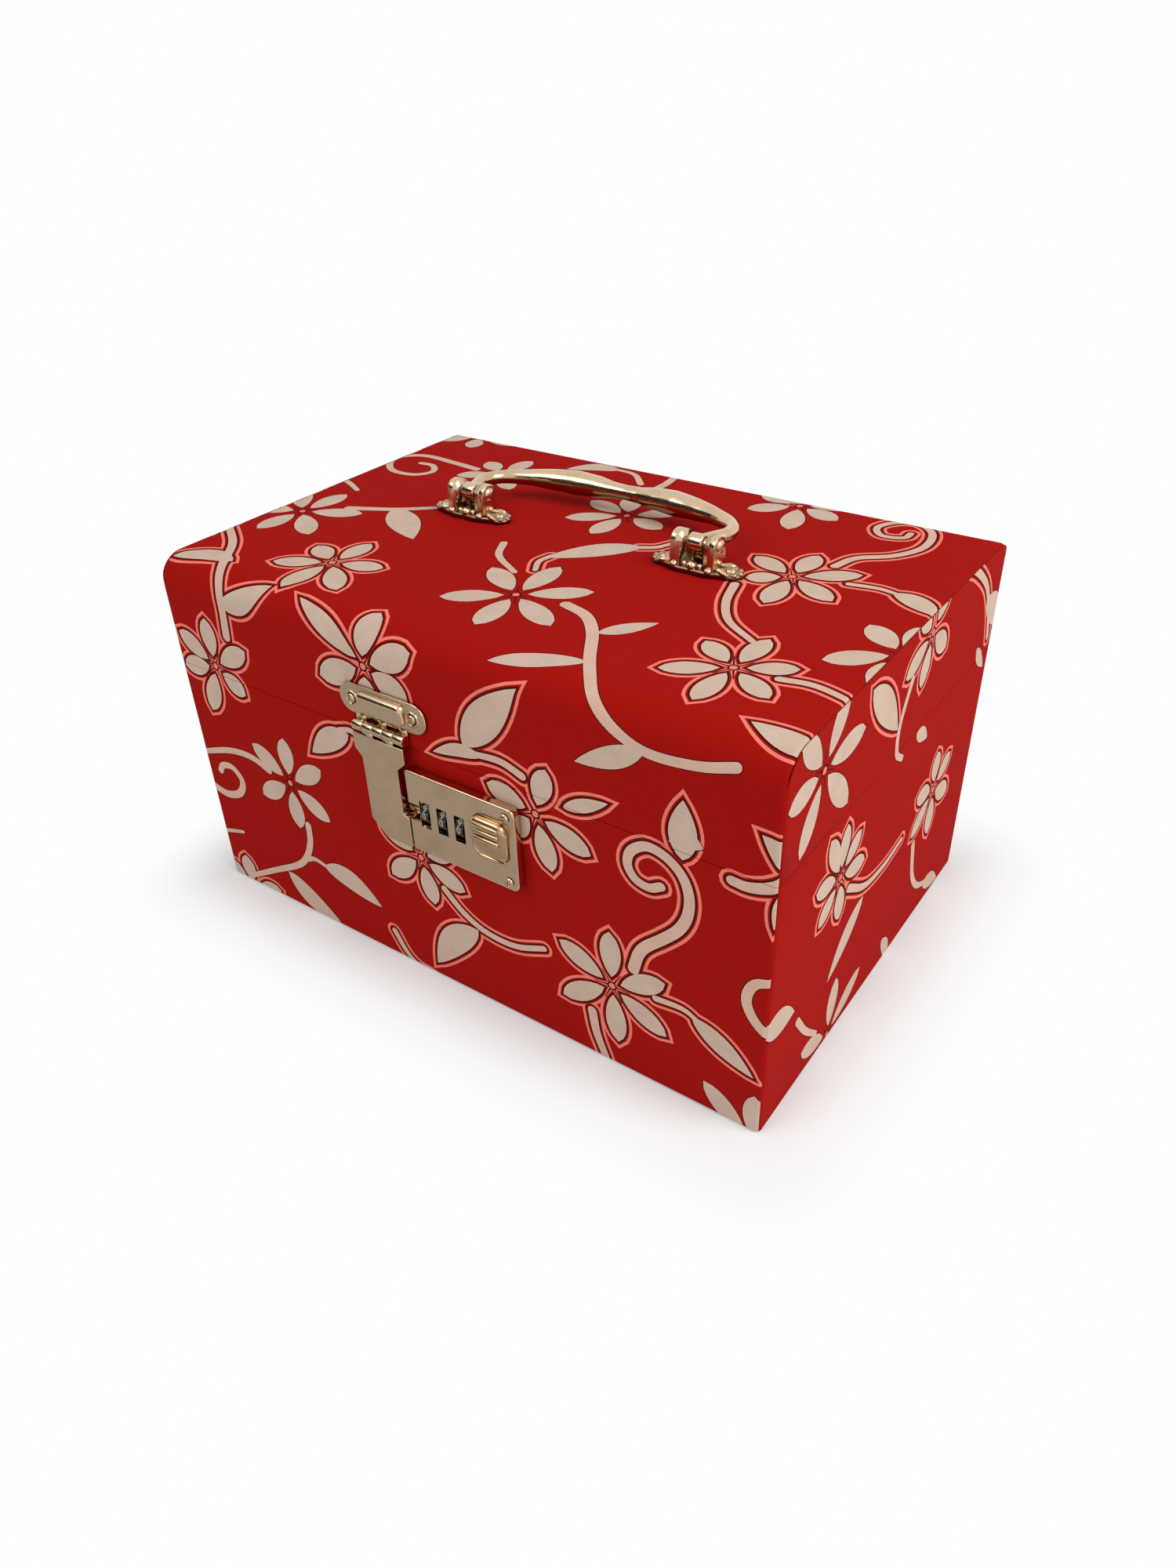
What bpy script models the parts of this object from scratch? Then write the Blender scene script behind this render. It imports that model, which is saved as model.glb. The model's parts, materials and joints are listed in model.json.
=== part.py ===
"""Makeup box: a cloth-covered board box with a hinged lid, a mirror in the lid,
a lift-out tray, a folding carrying handle and an L-shaped number-dial latch.

Metres, +Z up. X runs along the front, left to right, Y runs from front to rear,
and the origin is the middle of the underside, which is the face that it stands on.
Run it with blender --background --python part.py or from the text editor.
"""
import math

import bmesh
import bpy
from mathutils import Matrix, Vector

# Overall size of the closed box, over its cloth.
BOX_WIDTH = 0.300
BOX_DEPTH = 0.204
BOX_HEIGHT = 0.171
LID_HEIGHT = 0.0495
SEAM = 0.0006

# Layers of the walls, from the outside in.
CLOTH = 0.0007
GLUE = 0.0003
BOARD = 0.006
LINING = 0.0008
SOLE = 0.0015
CLOTH_TURN = 0.012
LINING_DROP = 0.0025

# Roundings of the covered box.
LID_FRONT_ROUND = 0.013
LID_REAR_ROUND = 0.008
CORNER_ROUND = 0.0022
RIM_ROUND = 0.0004

# Tray that rests on two cleats under the rim of the base.
TRAY_HEIGHT = 0.036
TRAY_WALL = 0.003
TRAY_FLOOR = 0.0025
TRAY_SIDE_GAP = 0.0012
TRAY_BELOW_RIM = 0.003
TRAY_RIM_ROUND = 0.0008
CLEAT_THICK = 0.006
CLEAT_HEIGHT = 0.010
CLEAT_END_GAP = 0.006
DIVIDER = 0.0025
DIVIDER_BELOW_RIM = 0.004
LONG_DIVIDER_Y = 0.022
CROSS_DIVIDER_X = 0.047
PULL_WIDTH = 0.016
PULL_THICK = 0.0009
PULL_RISE = 0.008
PULL_DEPTH = 0.020
PULL_ROUND = 0.007

# Mirror and its beading under the top of the lid.
MIRROR_MARGIN = 0.022
MIRROR_THICK = 0.003
MIRROR_ROUND = 0.006
BEADING = 0.006
BEADING_LIP = 0.003
BEADING_HEIGHT = 0.0045
BEADING_ROUND = 0.0005

# Rear hinges, one towards each end.
HINGE_X = 0.088
HINGE_LENGTH = 0.032
HINGE_LEAF = 0.001
HINGE_LEAF_HEIGHT = 0.018
HINGE_BARREL = 0.0022
HINGE_PIN = 0.0009
HINGE_KNUCKLES = 5
WEB_INSET_SHARE = 0.1
HINGE_HEAD_RADIUS = 0.0014
HINGE_HEAD_PROUD = 0.0005
STOP_REACH = 0.0065
STOP_LEAN = math.radians(50)
LID_OPENS = math.radians(100)
LEAF_ROUND = 0.002

# Hasp: a plate on the lid, a pin a little above the seam, and an arm that hangs over the lock.
HASP_X = -0.024
HASP_WIDTH = 0.027
HASP_RISE = 0.0047
HASP_PLATE_X = -0.0226
HASP_PLATE = 0.0012
HASP_PLATE_HEIGHT = 0.0135
HASP_PLATE_RISE = 0.0039
HASP_SCREW_SPAN = 0.032
HASP_BAR_LENGTH = 0.0245
HASP_BAR_HEIGHT = 0.0095
HASP_BAR_PROUD = 0.0026
HASP_BARREL = 0.0024
HASP_PIN = 0.0009
HASP_KNUCKLES = 5
ARM_THICK = 0.0022
ARM_TOP_DROP = 0.0028
SHOULDER_DROP = 0.0098
SHOULDER_SLOPE = 0.004
ARM_WIDTH = 0.019
ARM_LEFT_INSET = 0.0036
FOOT_HEIGHT = 0.023
FOOT_CHAMFER = 0.0075
ARM_ROUND = 0.0012
ARM_EDGE = 0.0004

# Lock: a plate, a case over it, three number wheels on an axle, and the slide.
LOCK_RIGHT = 0.0433
LOCK_WIDTH = 0.055
LOCK_HEIGHT = 0.039
LOCK_DROP = 0.0074
LOCK_PLATE = 0.0008
LOCK_DEPTH = 0.0034
LOCK_WALL = 0.001
LOCK_ROUND = 0.0032
LOCK_EDGE = 0.0006
WHEEL_RADIUS = 0.0052
WHEEL_WIDTH = 0.004
WHEEL_PITCH = 0.009
WHEEL_RISE = 0.020
WHEEL_PROUD = 0.0008
WHEEL_GROOVE = 0.00035
WHEEL_NUMBERS = 10
FIRST_WHEEL_INSET = 0.009
WINDOW_MARGIN = 0.0004
AXLE_RADIUS = 0.001
EAR = 0.001
EAR_WIDTH = 0.006
BUTTON_WIDTH = 0.0178
BUTTON_HEIGHT = 0.0195
BUTTON_THICK = 0.0031
BUTTON_INSET = 0.0036
BUTTON_RISE = 0.0122
BUTTON_ROUND = 0.0042
BUTTON_EDGE = 0.0013
RIDGE_RADIUS = 0.0007
RIDGE_PITCH = 0.0022
STEM_WIDTH = 0.0038
SLIDE_TRAVEL = 0.003
BOLT_HEIGHT = 0.005
BOLT_RISE = 0.005
BOLT_THICK = 0.0016
BOLT_TAB_WIDTH = 0.0072
BOLT_SOCKET = 0.005
LOCK_SCREW_INSET = 0.0045
LOCK_SCREW_MARGIN = 0.0042
BOSS_RADIUS = 0.0024

# Handle: two cast lugs screwed to the lid, and the bail that turns between them.
HANDLE_X = -0.00475
HANDLE_Y = 0.007
LUG_SPAN = 0.1175
LUG_LENGTH = 0.042
LUG_WIDTH = 0.0145
LUG_PLATE = 0.0018
LUG_LOBES = 10
LOBE_DEPTH_SHARE = 0.16
LUG_SCREW_SPAN = 0.031
PIVOT_RISE = 0.0115
CHEEK_GAP = 0.0112
CHEEK_THICK = 0.0046
CHEEK_RADIUS = 0.0043
CHEEK_FOOT = 0.011
CHEEK_EDGE = 0.0009
CHEEK_TIP_SHARE = 0.95
LUG_PIN = 0.0014
ROSETTE_RADIUS = 0.0050
ROSETTE_HEIGHT = 0.0030
ROSETTE_CREST_SHARE = 0.78
BEAD_RADIUS = 0.0017
BAIL_REACH = 0.0375
BAIL_OUTWARD = 0.0053
BAIL_DROOP = math.radians(3)
BAIL_ARM_RADIUS = 0.0030
BAIL_GRIP_RADIUS = 0.0055
BAIL_WAIST_RADIUS = 0.0046
KNUCKLE_RADIUS = 0.0037
KNUCKLE_WIDTH = 0.0066
COLLAR_RADIUS = 0.0026
HEEL_WIDTH = 0.0044
HEEL_DEPTH = 0.0028

# Screws with domed heads.
SCREW_HEAD = 0.0021
SCREW_DOME = 0.0011
SCREW_SHANK = 0.0010
SCREW_TIP_COVER = 0.0012

# Clearances.
RUNNING_GAP = 0.0003
WHEEL_GAP = 0.0004
PIN_GAP = 0.0003
OVERRUN = 0.002

# Counts and angles.
CORNER_STEPS = 5
WRAP_STEPS = 8
DOME_STEPS = 3
ROUND_SIDES = 20
SMALL_SIDES = 12
SMOOTH_ANGLE = math.radians(38)
BEVEL_ANGLE = math.radians(50)
FLAT_ANGLE = math.radians(0.1)
WELD = 0.000001

# Places that follow from the sizes above.
FRONT = -BOX_DEPTH / 2
REAR = BOX_DEPTH / 2
BASE_TOP = BOX_HEIGHT - LID_HEIGHT - SEAM
LID_LOW = BOX_HEIGHT - LID_HEIGHT
SEAM_Z = (BASE_TOP + LID_LOW) / 2
BOARD_X = BOX_WIDTH / 2 - CLOTH - GLUE
BOARD_Y = BOX_DEPTH / 2 - CLOTH - GLUE
INNER_X = BOARD_X - BOARD
INNER_Y = BOARD_Y - BOARD
BOARD_LOW = SOLE + GLUE
FLOOR_TOP = BOARD_LOW + BOARD
BASE_BOARD_TOP = BASE_TOP - CLOTH - GLUE
LID_BOARD_LOW = LID_LOW + CLOTH + GLUE
LID_BOARD_TOP = BOX_HEIGHT - CLOTH - GLUE
LID_CEILING = LID_BOARD_TOP - BOARD
LINED_X = INNER_X - GLUE - LINING
LINED_Y = INNER_Y - GLUE - LINING
LINED_FLOOR = FLOOR_TOP + GLUE + LINING
LINED_CEILING = LID_CEILING - GLUE - LINING

OBJECT_NAME = "makeup_box"


def clear_scene():
    """Empty the file, so the script can be run again."""
    for item in list(bpy.data.objects):
        bpy.data.objects.remove(item, do_unlink=True)


def new_collection(name):
    """Make a collection under the scene's own."""
    made = bpy.data.collections.new(name)
    bpy.context.scene.collection.children.link(made)
    return made


def make_material(name, colour, roughness, metallic=0.0):
    """Make a plain Principled material."""
    made = bpy.data.materials.new(name)
    made.use_nodes = True
    shader = made.node_tree.nodes["Principled BSDF"]
    shader.inputs["Base Color"].default_value = (*colour, 1.0)
    shader.inputs["Roughness"].default_value = roughness
    shader.inputs["Metallic"].default_value = metallic
    return made


def add_object(name, data):
    """Put a new object on the bench, the collection that holds cutters and unfinished pieces."""
    made = bpy.data.objects.new(name, data)
    made.hide_render = True
    made.display_type = 'WIRE'
    bench.objects.link(made)
    return made


def hand_over(piece):
    """Move a finished object from the bench to the model's collection."""
    bench.objects.unlink(piece)
    parts.objects.link(piece)
    piece.hide_render = False
    piece.display_type = 'TEXTURED'


def settle(piece, turn_outward=False):
    """Turn a curve, or a mesh with modifiers, into a plain welded mesh in world space."""
    bpy.context.view_layer.update()
    graph = bpy.context.evaluated_depsgraph_get()
    mesh = bpy.data.meshes.new_from_object(piece.evaluated_get(graph))
    mesh.transform(piece.matrix_world)
    name = piece.name
    bpy.data.objects.remove(piece, do_unlink=True)
    work = bmesh.new()
    work.from_mesh(mesh)
    bmesh.ops.remove_doubles(work, verts=work.verts, dist=WELD)
    if turn_outward:
        bmesh.ops.recalc_face_normals(work, faces=work.faces)
        bmesh.ops.dissolve_limit(work, angle_limit=FLAT_ANGLE, verts=work.verts, edges=work.edges)
    work.to_mesh(mesh)
    work.free()
    mesh.name = name
    return add_object(name, mesh)


def combine(piece, tool, operation):
    """Cut a piece by a tool, join them, or keep what they share. The tool is used up."""
    step = piece.modifiers.new(operation, 'BOOLEAN')
    step.operation = operation
    step.solver = 'EXACT'
    step.object = tool
    made = settle(piece)
    bpy.data.objects.remove(tool, do_unlink=True)
    return made


def cut(piece, *tools):
    for tool in tools:
        piece = combine(piece, tool, 'DIFFERENCE')
    return piece


def join(piece, *tools):
    for tool in tools:
        piece = combine(piece, tool, 'UNION')
    return piece


def keep_inside(piece, form):
    return combine(piece, form, 'INTERSECT')


def soften(piece, width, segments=2):
    """Round every edge that is sharper than the bevel angle."""
    step = piece.modifiers.new("soften", 'BEVEL')
    step.width = width
    step.segments = segments
    step.limit_method = 'ANGLE'
    step.angle_limit = BEVEL_ANGLE
    step.use_clamp_overlap = True
    return settle(piece)


def box(name, low, high):
    """A plain block between two corners."""
    work = bmesh.new()
    bmesh.ops.create_cube(work, size=1.0)
    size = Vector(high) - Vector(low)
    middle = (Vector(high) + Vector(low)) / 2
    bmesh.ops.scale(work, vec=size, verts=work.verts)
    bmesh.ops.translate(work, vec=middle, verts=work.verts)
    mesh = bpy.data.meshes.new(name)
    work.to_mesh(mesh)
    work.free()
    return add_object(name, mesh)


# Each basis sends an outline's two directions, and its thickness, to world axes.
ALONG_X = Matrix(((0, 0, 1), (1, 0, 0), (0, 1, 0))).to_4x4()
ALONG_Y = Matrix(((1, 0, 0), (0, 0, -1), (0, 1, 0))).to_4x4()
ALONG_Z = Matrix.Identity(4)


def slab(name, outlines, basis, low, high):
    """Extrude a flat outline, with any holes after it, from low to high along the basis."""
    data = bpy.data.curves.new(name, 'CURVE')
    data.dimensions = '2D'
    data.fill_mode = 'BOTH'
    data.extrude = (high - low) / 2
    for outline in outlines:
        spline = data.splines.new('POLY')
        spline.points.add(len(outline) - 1)
        for point, place in zip(spline.points, outline):
            point.co = (place[0], place[1], 0, 1)
        spline.use_cyclic_u = True
    made = add_object(name, data)
    made.matrix_world = basis @ Matrix.Translation((0, 0, (low + high) / 2))
    return settle(made, True)


def slab_x(name, low, high, *outlines):
    """Outlines in Y and Z, extruded along X."""
    return slab(name, outlines, ALONG_X, low, high)


def slab_y(name, low, high, *outlines):
    """Outlines in X and Z, extruded along Y."""
    return slab(name, outlines, ALONG_Y, -high, -low)


def slab_z(name, low, high, *outlines):
    """Outlines in X and Y, extruded along Z."""
    return slab(name, outlines, ALONG_Z, low, high)


def circle(a, b, radius, sides=ROUND_SIDES):
    """Points of a circle round (a, b)."""
    turn = 2 * math.pi / sides
    return [(a + radius * math.cos(turn * i), b + radius * math.sin(turn * i)) for i in range(sides)]


def rounded(corners, steps=CORNER_STEPS):
    """Turn anticlockwise corners (a, b, radius) into an outline with arcs."""
    outline = []
    for index, (a, b, radius) in enumerate(corners):
        here = Vector((a, b))
        if radius <= 0:
            outline.append(here)
            continue
        back = (Vector(corners[index - 1][:2]) - here).normalized()
        ahead = (Vector(corners[(index + 1) % len(corners)][:2]) - here).normalized()
        half = back.angle(ahead) / 2
        centre = here + (back + ahead).normalized() * (radius / math.sin(half))
        start = here + back * (radius / math.tan(half)) - centre
        convex = ahead.x * back.y - ahead.y * back.x > 0
        turn = (math.pi - 2 * half) * (1 if convex else -1)
        for step in range(steps + 1):
            outline.append(centre + Matrix.Rotation(turn * step / steps, 2) @ start)
    return outline


def rectangle(low_a, low_b, high_a, high_b, radius=0.0):
    """A rectangle with equal rounded corners."""
    return rounded([
        (low_a, low_b, radius),
        (high_a, low_b, radius),
        (high_a, high_b, radius),
        (low_a, high_b, radius),
    ])


def rod(name, basis, a, b, radius, low, high, sides=SMALL_SIDES):
    """A round bar along the basis, from low to high."""
    work = bmesh.new()
    bmesh.ops.create_cone(work, cap_ends=True, segments=sides, radius1=radius, radius2=radius, depth=high - low)
    bmesh.ops.translate(work, vec=(a, b, (low + high) / 2), verts=work.verts)
    bmesh.ops.transform(work, matrix=basis, verts=work.verts)
    mesh = bpy.data.meshes.new(name)
    work.to_mesh(mesh)
    work.free()
    return add_object(name, mesh)


def rod_x(name, y, z, radius, low, high, sides=SMALL_SIDES):
    return rod(name, ALONG_X, y, z, radius, low, high, sides)


def rod_y(name, x, z, radius, low, high, sides=SMALL_SIDES):
    return rod(name, ALONG_Y, x, z, radius, -high, -low, sides)


def rod_z(name, x, y, radius, low, high, sides=SMALL_SIDES):
    return rod(name, ALONG_Z, x, y, radius, low, high, sides)


def turned(name, profile, place, sides=SMALL_SIDES):
    """Revolve a profile of (radius, height) points, listed from top to bottom, about Z."""
    mesh = bpy.data.meshes.new(name)
    work = bmesh.new()
    verts = [work.verts.new((radius, 0, height)) for radius, height in profile]
    for first, second in zip(verts, verts[1:]):
        work.edges.new((first, second))
    work.to_mesh(mesh)
    work.free()
    made = add_object(name, mesh)
    step = made.modifiers.new("turn", 'SCREW')
    step.steps = sides
    step.render_steps = sides
    step.use_merge_vertices = True
    step.merge_threshold = WELD
    made.matrix_world = place
    return settle(made, True)


def ball(name, middle, radius):
    """A small bead."""
    work = bmesh.new()
    bmesh.ops.create_uvsphere(work, u_segments=8, v_segments=6, radius=radius)
    bmesh.ops.translate(work, vec=middle, verts=work.verts)
    mesh = bpy.data.meshes.new(name)
    work.to_mesh(mesh)
    work.free()
    return add_object(name, mesh)


def finish(piece, material, origin, holder=None):
    """Give a piece its finish and its origin, and hang it on the empty that moves it."""
    origin = Vector(origin)
    piece.data.transform(Matrix.Translation(-origin))
    piece.data.shade_smooth()
    piece.data.set_sharp_from_angle(angle=SMOOTH_ANGLE)
    piece.data.materials.clear()
    piece.data.materials.append(material)
    piece.location = origin
    if holder is not None:
        piece.parent = holder
        piece.location = origin - holder.matrix_world.translation
    hand_over(piece)
    return piece


def pivot(name, place, holder=None):
    """An empty on a joint's axis."""
    made = add_object(name, None)
    made.location = Vector(place)
    if holder is not None:
        made.parent = holder
        made.location = Vector(place) - holder.matrix_world.translation
    bpy.context.view_layer.update()
    hand_over(made)
    return made


def lid_form(name, inset, low, ends=0.0):
    """The lid's outer form, drawn in all over by the inset and cut off at a height."""
    side = BOX_DEPTH / 2 - inset
    top = BOX_HEIGHT - inset
    foot = low - ends - OVERRUN
    outline = rounded([
        (-side, foot, 0),
        (side, foot, 0),
        (side, top, LID_REAR_ROUND - inset),
        (-side, top, LID_FRONT_ROUND - inset),
    ], WRAP_STEPS)
    made = slab_x(name, -BOX_WIDTH / 2 + inset, BOX_WIDTH / 2 - inset, outline)
    if ends:
        made = soften(made, ends)
    return cut(made, box("below", (-BOX_WIDTH, -BOX_DEPTH, foot - OVERRUN), (BOX_WIDTH, BOX_DEPTH, low)))


def screw_profile(length):
    """A domed head over a plain shank, from the crown down."""
    head = [(0.0, SCREW_DOME)]
    for step in range(1, DOME_STEPS):
        angle = math.pi / 2 * step / DOME_STEPS
        head.append((SCREW_HEAD * math.sin(angle), SCREW_DOME * math.cos(angle)))
    head.append((SCREW_HEAD, 0.0))
    return head + [(SCREW_SHANK, 0.0), (SCREW_SHANK, -length), (0.0, -length)]


def make_screw(name, place, outward, length, holder):
    """A screw whose head's underside is at place, driven against the outward direction."""
    turn = Vector((0, 0, 1)).rotation_difference(Vector(outward)).to_matrix().to_4x4()
    made = turned(name, screw_profile(length), Matrix.Translation(place) @ turn)
    return finish(made, steel, place, holder)


# Carcass of the base: four walls round a floor board, glued edge to edge.

def make_base_boards():
    front = box("front_panel", (-BOARD_X, -BOARD_Y, BOARD_LOW), (BOARD_X, -INNER_Y, BASE_BOARD_TOP))
    rear = box("rear_panel", (-BOARD_X, INNER_Y, BOARD_LOW), (BOARD_X, BOARD_Y, BASE_BOARD_TOP))
    side_y = INNER_Y - GLUE
    left = box("left_panel", (-BOARD_X, -side_y, BOARD_LOW), (-INNER_X, side_y, BASE_BOARD_TOP))
    right = box("right_panel", (INNER_X, -side_y, BOARD_LOW), (BOARD_X, side_y, BASE_BOARD_TOP))
    floor_x = INNER_X - GLUE
    floor = box("bottom_panel", (-floor_x, -side_y, BOARD_LOW), (floor_x, side_y, FLOOR_TOP))
    front = cut(front, *lock_recesses("board"))
    for piece in (front, rear, left, right, floor):
        finish(piece, board, (0, 0, BOARD_LOW))


def make_base_cloth():
    """The printed cover, turned in over the rim and under the floor."""
    low = SOLE - CLOTH
    half_x = BOX_WIDTH / 2
    half_y = BOX_DEPTH / 2
    outer = slab_z("base_cloth", low, BASE_TOP, rectangle(-half_x, -half_y, half_x, half_y, CORNER_ROUND))
    outer = soften(outer, RIM_ROUND, 1)
    hollow_x = half_x - CLOTH
    hollow_y = half_y - CLOTH
    hollow = box("hollow", (-hollow_x, -hollow_y, SOLE), (hollow_x, hollow_y, BASE_TOP - CLOTH))
    mouth = box("mouth", (-INNER_X, -INNER_Y, BASE_TOP - OVERRUN), (INNER_X, INNER_Y, BASE_TOP + OVERRUN))
    under_x = half_x - CLOTH_TURN
    under_y = half_y - CLOTH_TURN
    under = box("under", (-under_x, -under_y, low - OVERRUN), (under_x, under_y, low + OVERRUN))
    outer = cut(outer, hollow, mouth, under, *lock_recesses("cloth"))
    finish(outer, printed_cloth, (0, 0, low))


def make_sole():
    """The plain sheet glued under the floor, inside the turned-in cloth."""
    half_x = BOX_WIDTH / 2 - CLOTH_TURN - GLUE
    half_y = BOX_DEPTH / 2 - CLOTH_TURN - GLUE
    sole = slab_z("bottom_sheet", 0.0, SOLE, rectangle(-half_x, -half_y, half_x, half_y, CORNER_ROUND))
    finish(sole, sheet, (0, 0, 0))


def make_base_lining():
    x = INNER_X - GLUE
    y = INNER_Y - GLUE
    top = BASE_TOP - LINING_DROP
    outer = box("base_lining", (-x, -y, FLOOR_TOP + GLUE), (x, y, top))
    hollow = box("hollow", (-LINED_X, -LINED_Y, LINED_FLOOR), (LINED_X, LINED_Y, top + OVERRUN))
    finish(cut(outer, hollow), velvet, (0, 0, FLOOR_TOP))


def tray_low():
    """Height of the tray's underside."""
    return BASE_TOP - TRAY_BELOW_RIM - TRAY_HEIGHT


def make_cleats():
    """The two ledges that carry the tray."""
    top = tray_low() - RUNNING_GAP
    outer = LINED_X - GLUE
    length = LINED_Y - CLEAT_END_GAP
    for name, side in (("tray_cleat_left", -1), ("tray_cleat_right", 1)):
        ends = sorted((side * outer, side * (outer - CLEAT_THICK)))
        cleat = box(name, (ends[0], -length, top - CLEAT_HEIGHT), (ends[1], length, top))
        finish(soften(cleat, TRAY_RIM_ROUND), velvet, (side * outer, 0, top))


# Lift-out tray with a lapped grid of dividers.

def make_tray(holder):
    low = tray_low()
    top = low + TRAY_HEIGHT
    x = LINED_X - TRAY_SIDE_GAP
    y = LINED_Y - TRAY_SIDE_GAP
    inner_x = x - TRAY_WALL
    inner_y = y - TRAY_WALL
    shell = slab_z("tray_shell", low, top, rectangle(-x, -y, x, y, CORNER_ROUND))
    hollow = box("hollow", (-inner_x, -inner_y, low + TRAY_FLOOR), (inner_x, inner_y, top + OVERRUN))
    shell = soften(cut(shell, hollow), TRAY_RIM_ROUND)
    finish(shell, velvet, (0, 0, low), holder)

    rest = low + TRAY_FLOOR + GLUE
    crest = top - DIVIDER_BELOW_RIM
    lap = (rest + crest) / 2
    end_x = inner_x - GLUE
    end_y = inner_y - GLUE
    half = DIVIDER / 2
    slot = half + GLUE
    long_low = (-end_x, LONG_DIVIDER_Y - half, rest)
    long_divider = box("tray_divider_long", long_low, (end_x, LONG_DIVIDER_Y + half, crest))
    for name, side in (("tray_divider_left", -1), ("tray_divider_right", 1)):
        x = side * CROSS_DIVIDER_X
        notch_low = (x - slot, LONG_DIVIDER_Y - DIVIDER, lap - GLUE / 2)
        notch_high = (x + slot, LONG_DIVIDER_Y + DIVIDER, crest + OVERRUN)
        long_divider = cut(long_divider, box("notch", notch_low, notch_high))
        cross = box(name, (x - half, -end_y, rest), (x + half, end_y, crest))
        notch_low = (x - DIVIDER, LONG_DIVIDER_Y - slot, rest - OVERRUN)
        notch_high = (x + DIVIDER, LONG_DIVIDER_Y + slot, lap + GLUE / 2)
        cross = cut(cross, box("notch", notch_low, notch_high))
        finish(cross, velvet, (x, 0, rest), holder)
    finish(long_divider, velvet, (0, LONG_DIVIDER_Y, rest), holder)

    for name, side in (("tray_pull_left", -1), ("tray_pull_right", 1)):
        face = side * (inner_x - GLUE)
        ends = sorted((face, face - side * PULL_THICK))
        half = PULL_WIDTH / 2
        tab = rounded([
            (-half, top - PULL_DEPTH, 0),
            (half, top - PULL_DEPTH, 0),
            (half, top + PULL_RISE, PULL_ROUND),
            (-half, top + PULL_RISE, PULL_ROUND),
        ])
        pull = slab_x(name, ends[0], ends[1], [(p[0] + pull_y(), p[1]) for p in tab])
        finish(pull, ribbon, (face, pull_y(), top), holder)


def pull_y():
    """The ribbon tabs stand midway between the long divider and the front of the tray."""
    return (LONG_DIVIDER_Y - DIVIDER / 2 - LINED_Y + TRAY_SIDE_GAP + TRAY_WALL) / 2


# Carcass of the lid: four rails under a top board, planed round along the front and rear.

def make_lid_boards(holder):
    under = LID_CEILING - GLUE
    side_y = INNER_Y - GLUE
    inset = CLOTH + GLUE
    top_low = (-BOARD_X, -BOARD_Y, LID_CEILING)
    rails = {
        "lid_top_panel": (top_low, (BOARD_X, BOARD_Y, LID_BOARD_TOP)),
        "lid_front_rail": ((-BOARD_X, -BOARD_Y, LID_BOARD_LOW), (BOARD_X, -INNER_Y, under)),
        "lid_rear_rail": ((-BOARD_X, INNER_Y, LID_BOARD_LOW), (BOARD_X, BOARD_Y, under)),
        "lid_left_rail": ((-BOARD_X, -side_y, LID_BOARD_LOW), (-INNER_X, side_y, under)),
        "lid_right_rail": ((INNER_X, -side_y, LID_BOARD_LOW), (BOARD_X, side_y, under)),
    }
    for name, (low, high) in rails.items():
        piece = keep_inside(box(name, low, high), lid_form("form", inset, LID_BOARD_LOW - OVERRUN))
        if name == "lid_front_rail":
            piece = cut(piece, *hasp_screw_holes())
        if name == "lid_top_panel":
            piece = cut(piece, *lug_screw_holes())
        finish(piece, board, (0, 0, low[2]), holder)


def make_lid_cloth(holder):
    outer = soften(lid_form("lid_cloth", 0.0, LID_LOW, CORNER_ROUND), RIM_ROUND, 1)
    hollow = keep_inside(
        box("hollow", (-BOX_WIDTH, -BOX_DEPTH, LID_LOW + CLOTH), (BOX_WIDTH, BOX_DEPTH, BOX_HEIGHT)),
        lid_form("form", CLOTH, LID_LOW - OVERRUN),
    )
    mouth = box("mouth", (-INNER_X, -INNER_Y, LID_LOW - OVERRUN), (INNER_X, INNER_Y, LID_LOW + OVERRUN))
    outer = cut(outer, hollow, mouth, *hasp_screw_holes(), *lug_screw_holes())
    finish(outer, printed_cloth, (0, 0, LID_LOW), holder)


def make_lid_lining(holder):
    x = INNER_X - GLUE
    y = INNER_Y - GLUE
    low = LID_LOW + LINING_DROP
    outer = box("lid_lining", (-x, -y, low), (x, y, LID_CEILING - GLUE))
    hollow = box("hollow", (-LINED_X, -LINED_Y, low - OVERRUN), (LINED_X, LINED_Y, LINED_CEILING))
    finish(cut(outer, hollow), velvet, (0, 0, low), holder)


def make_mirror(holder):
    """The glass, and the beading whose lip holds its edge."""
    half_x = LINED_X - MIRROR_MARGIN
    half_y = LINED_Y - MIRROR_MARGIN
    top = LINED_CEILING - GLUE
    glass = rectangle(-half_x, -half_y, half_x, half_y, MIRROR_ROUND)
    mirror = slab_z("lid_mirror", top - MIRROR_THICK, top, glass)
    finish(mirror, silvered_glass, (0, 0, top), holder)

    wide = BEADING - BEADING_LIP
    outer = rectangle(-half_x - wide, -half_y - wide, half_x + wide, half_y + wide, MIRROR_ROUND + wide)
    lip = BEADING_LIP
    sight = rectangle(-half_x + lip, -half_y + lip, half_x - lip, half_y - lip, MIRROR_ROUND - lip)
    bead = slab_z("mirror_beading", top - BEADING_HEIGHT, top, outer, sight)
    gap = GLUE
    seat = rectangle(-half_x - gap, -half_y - gap, half_x + gap, half_y + gap, MIRROR_ROUND + gap)
    rebate = slab_z("rebate", top - MIRROR_THICK - gap, top + OVERRUN, seat)
    finish(soften(cut(bead, rebate), BEADING_ROUND, 1), gilt, (0, 0, top), holder)


# Rear hinges.

def hinge_axis_y():
    return REAR + GLUE + HINGE_BARREL


def knuckle_spans(middle, length, count, own):
    """Ends of the knuckles that belong to one leaf: the even ones, or the odd ones."""
    pitch = (length + GLUE) / count
    low = middle - length / 2
    return [(low + pitch * i, low + pitch * (i + 1) - GLUE) for i in range(count) if i % 2 == own]


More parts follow.
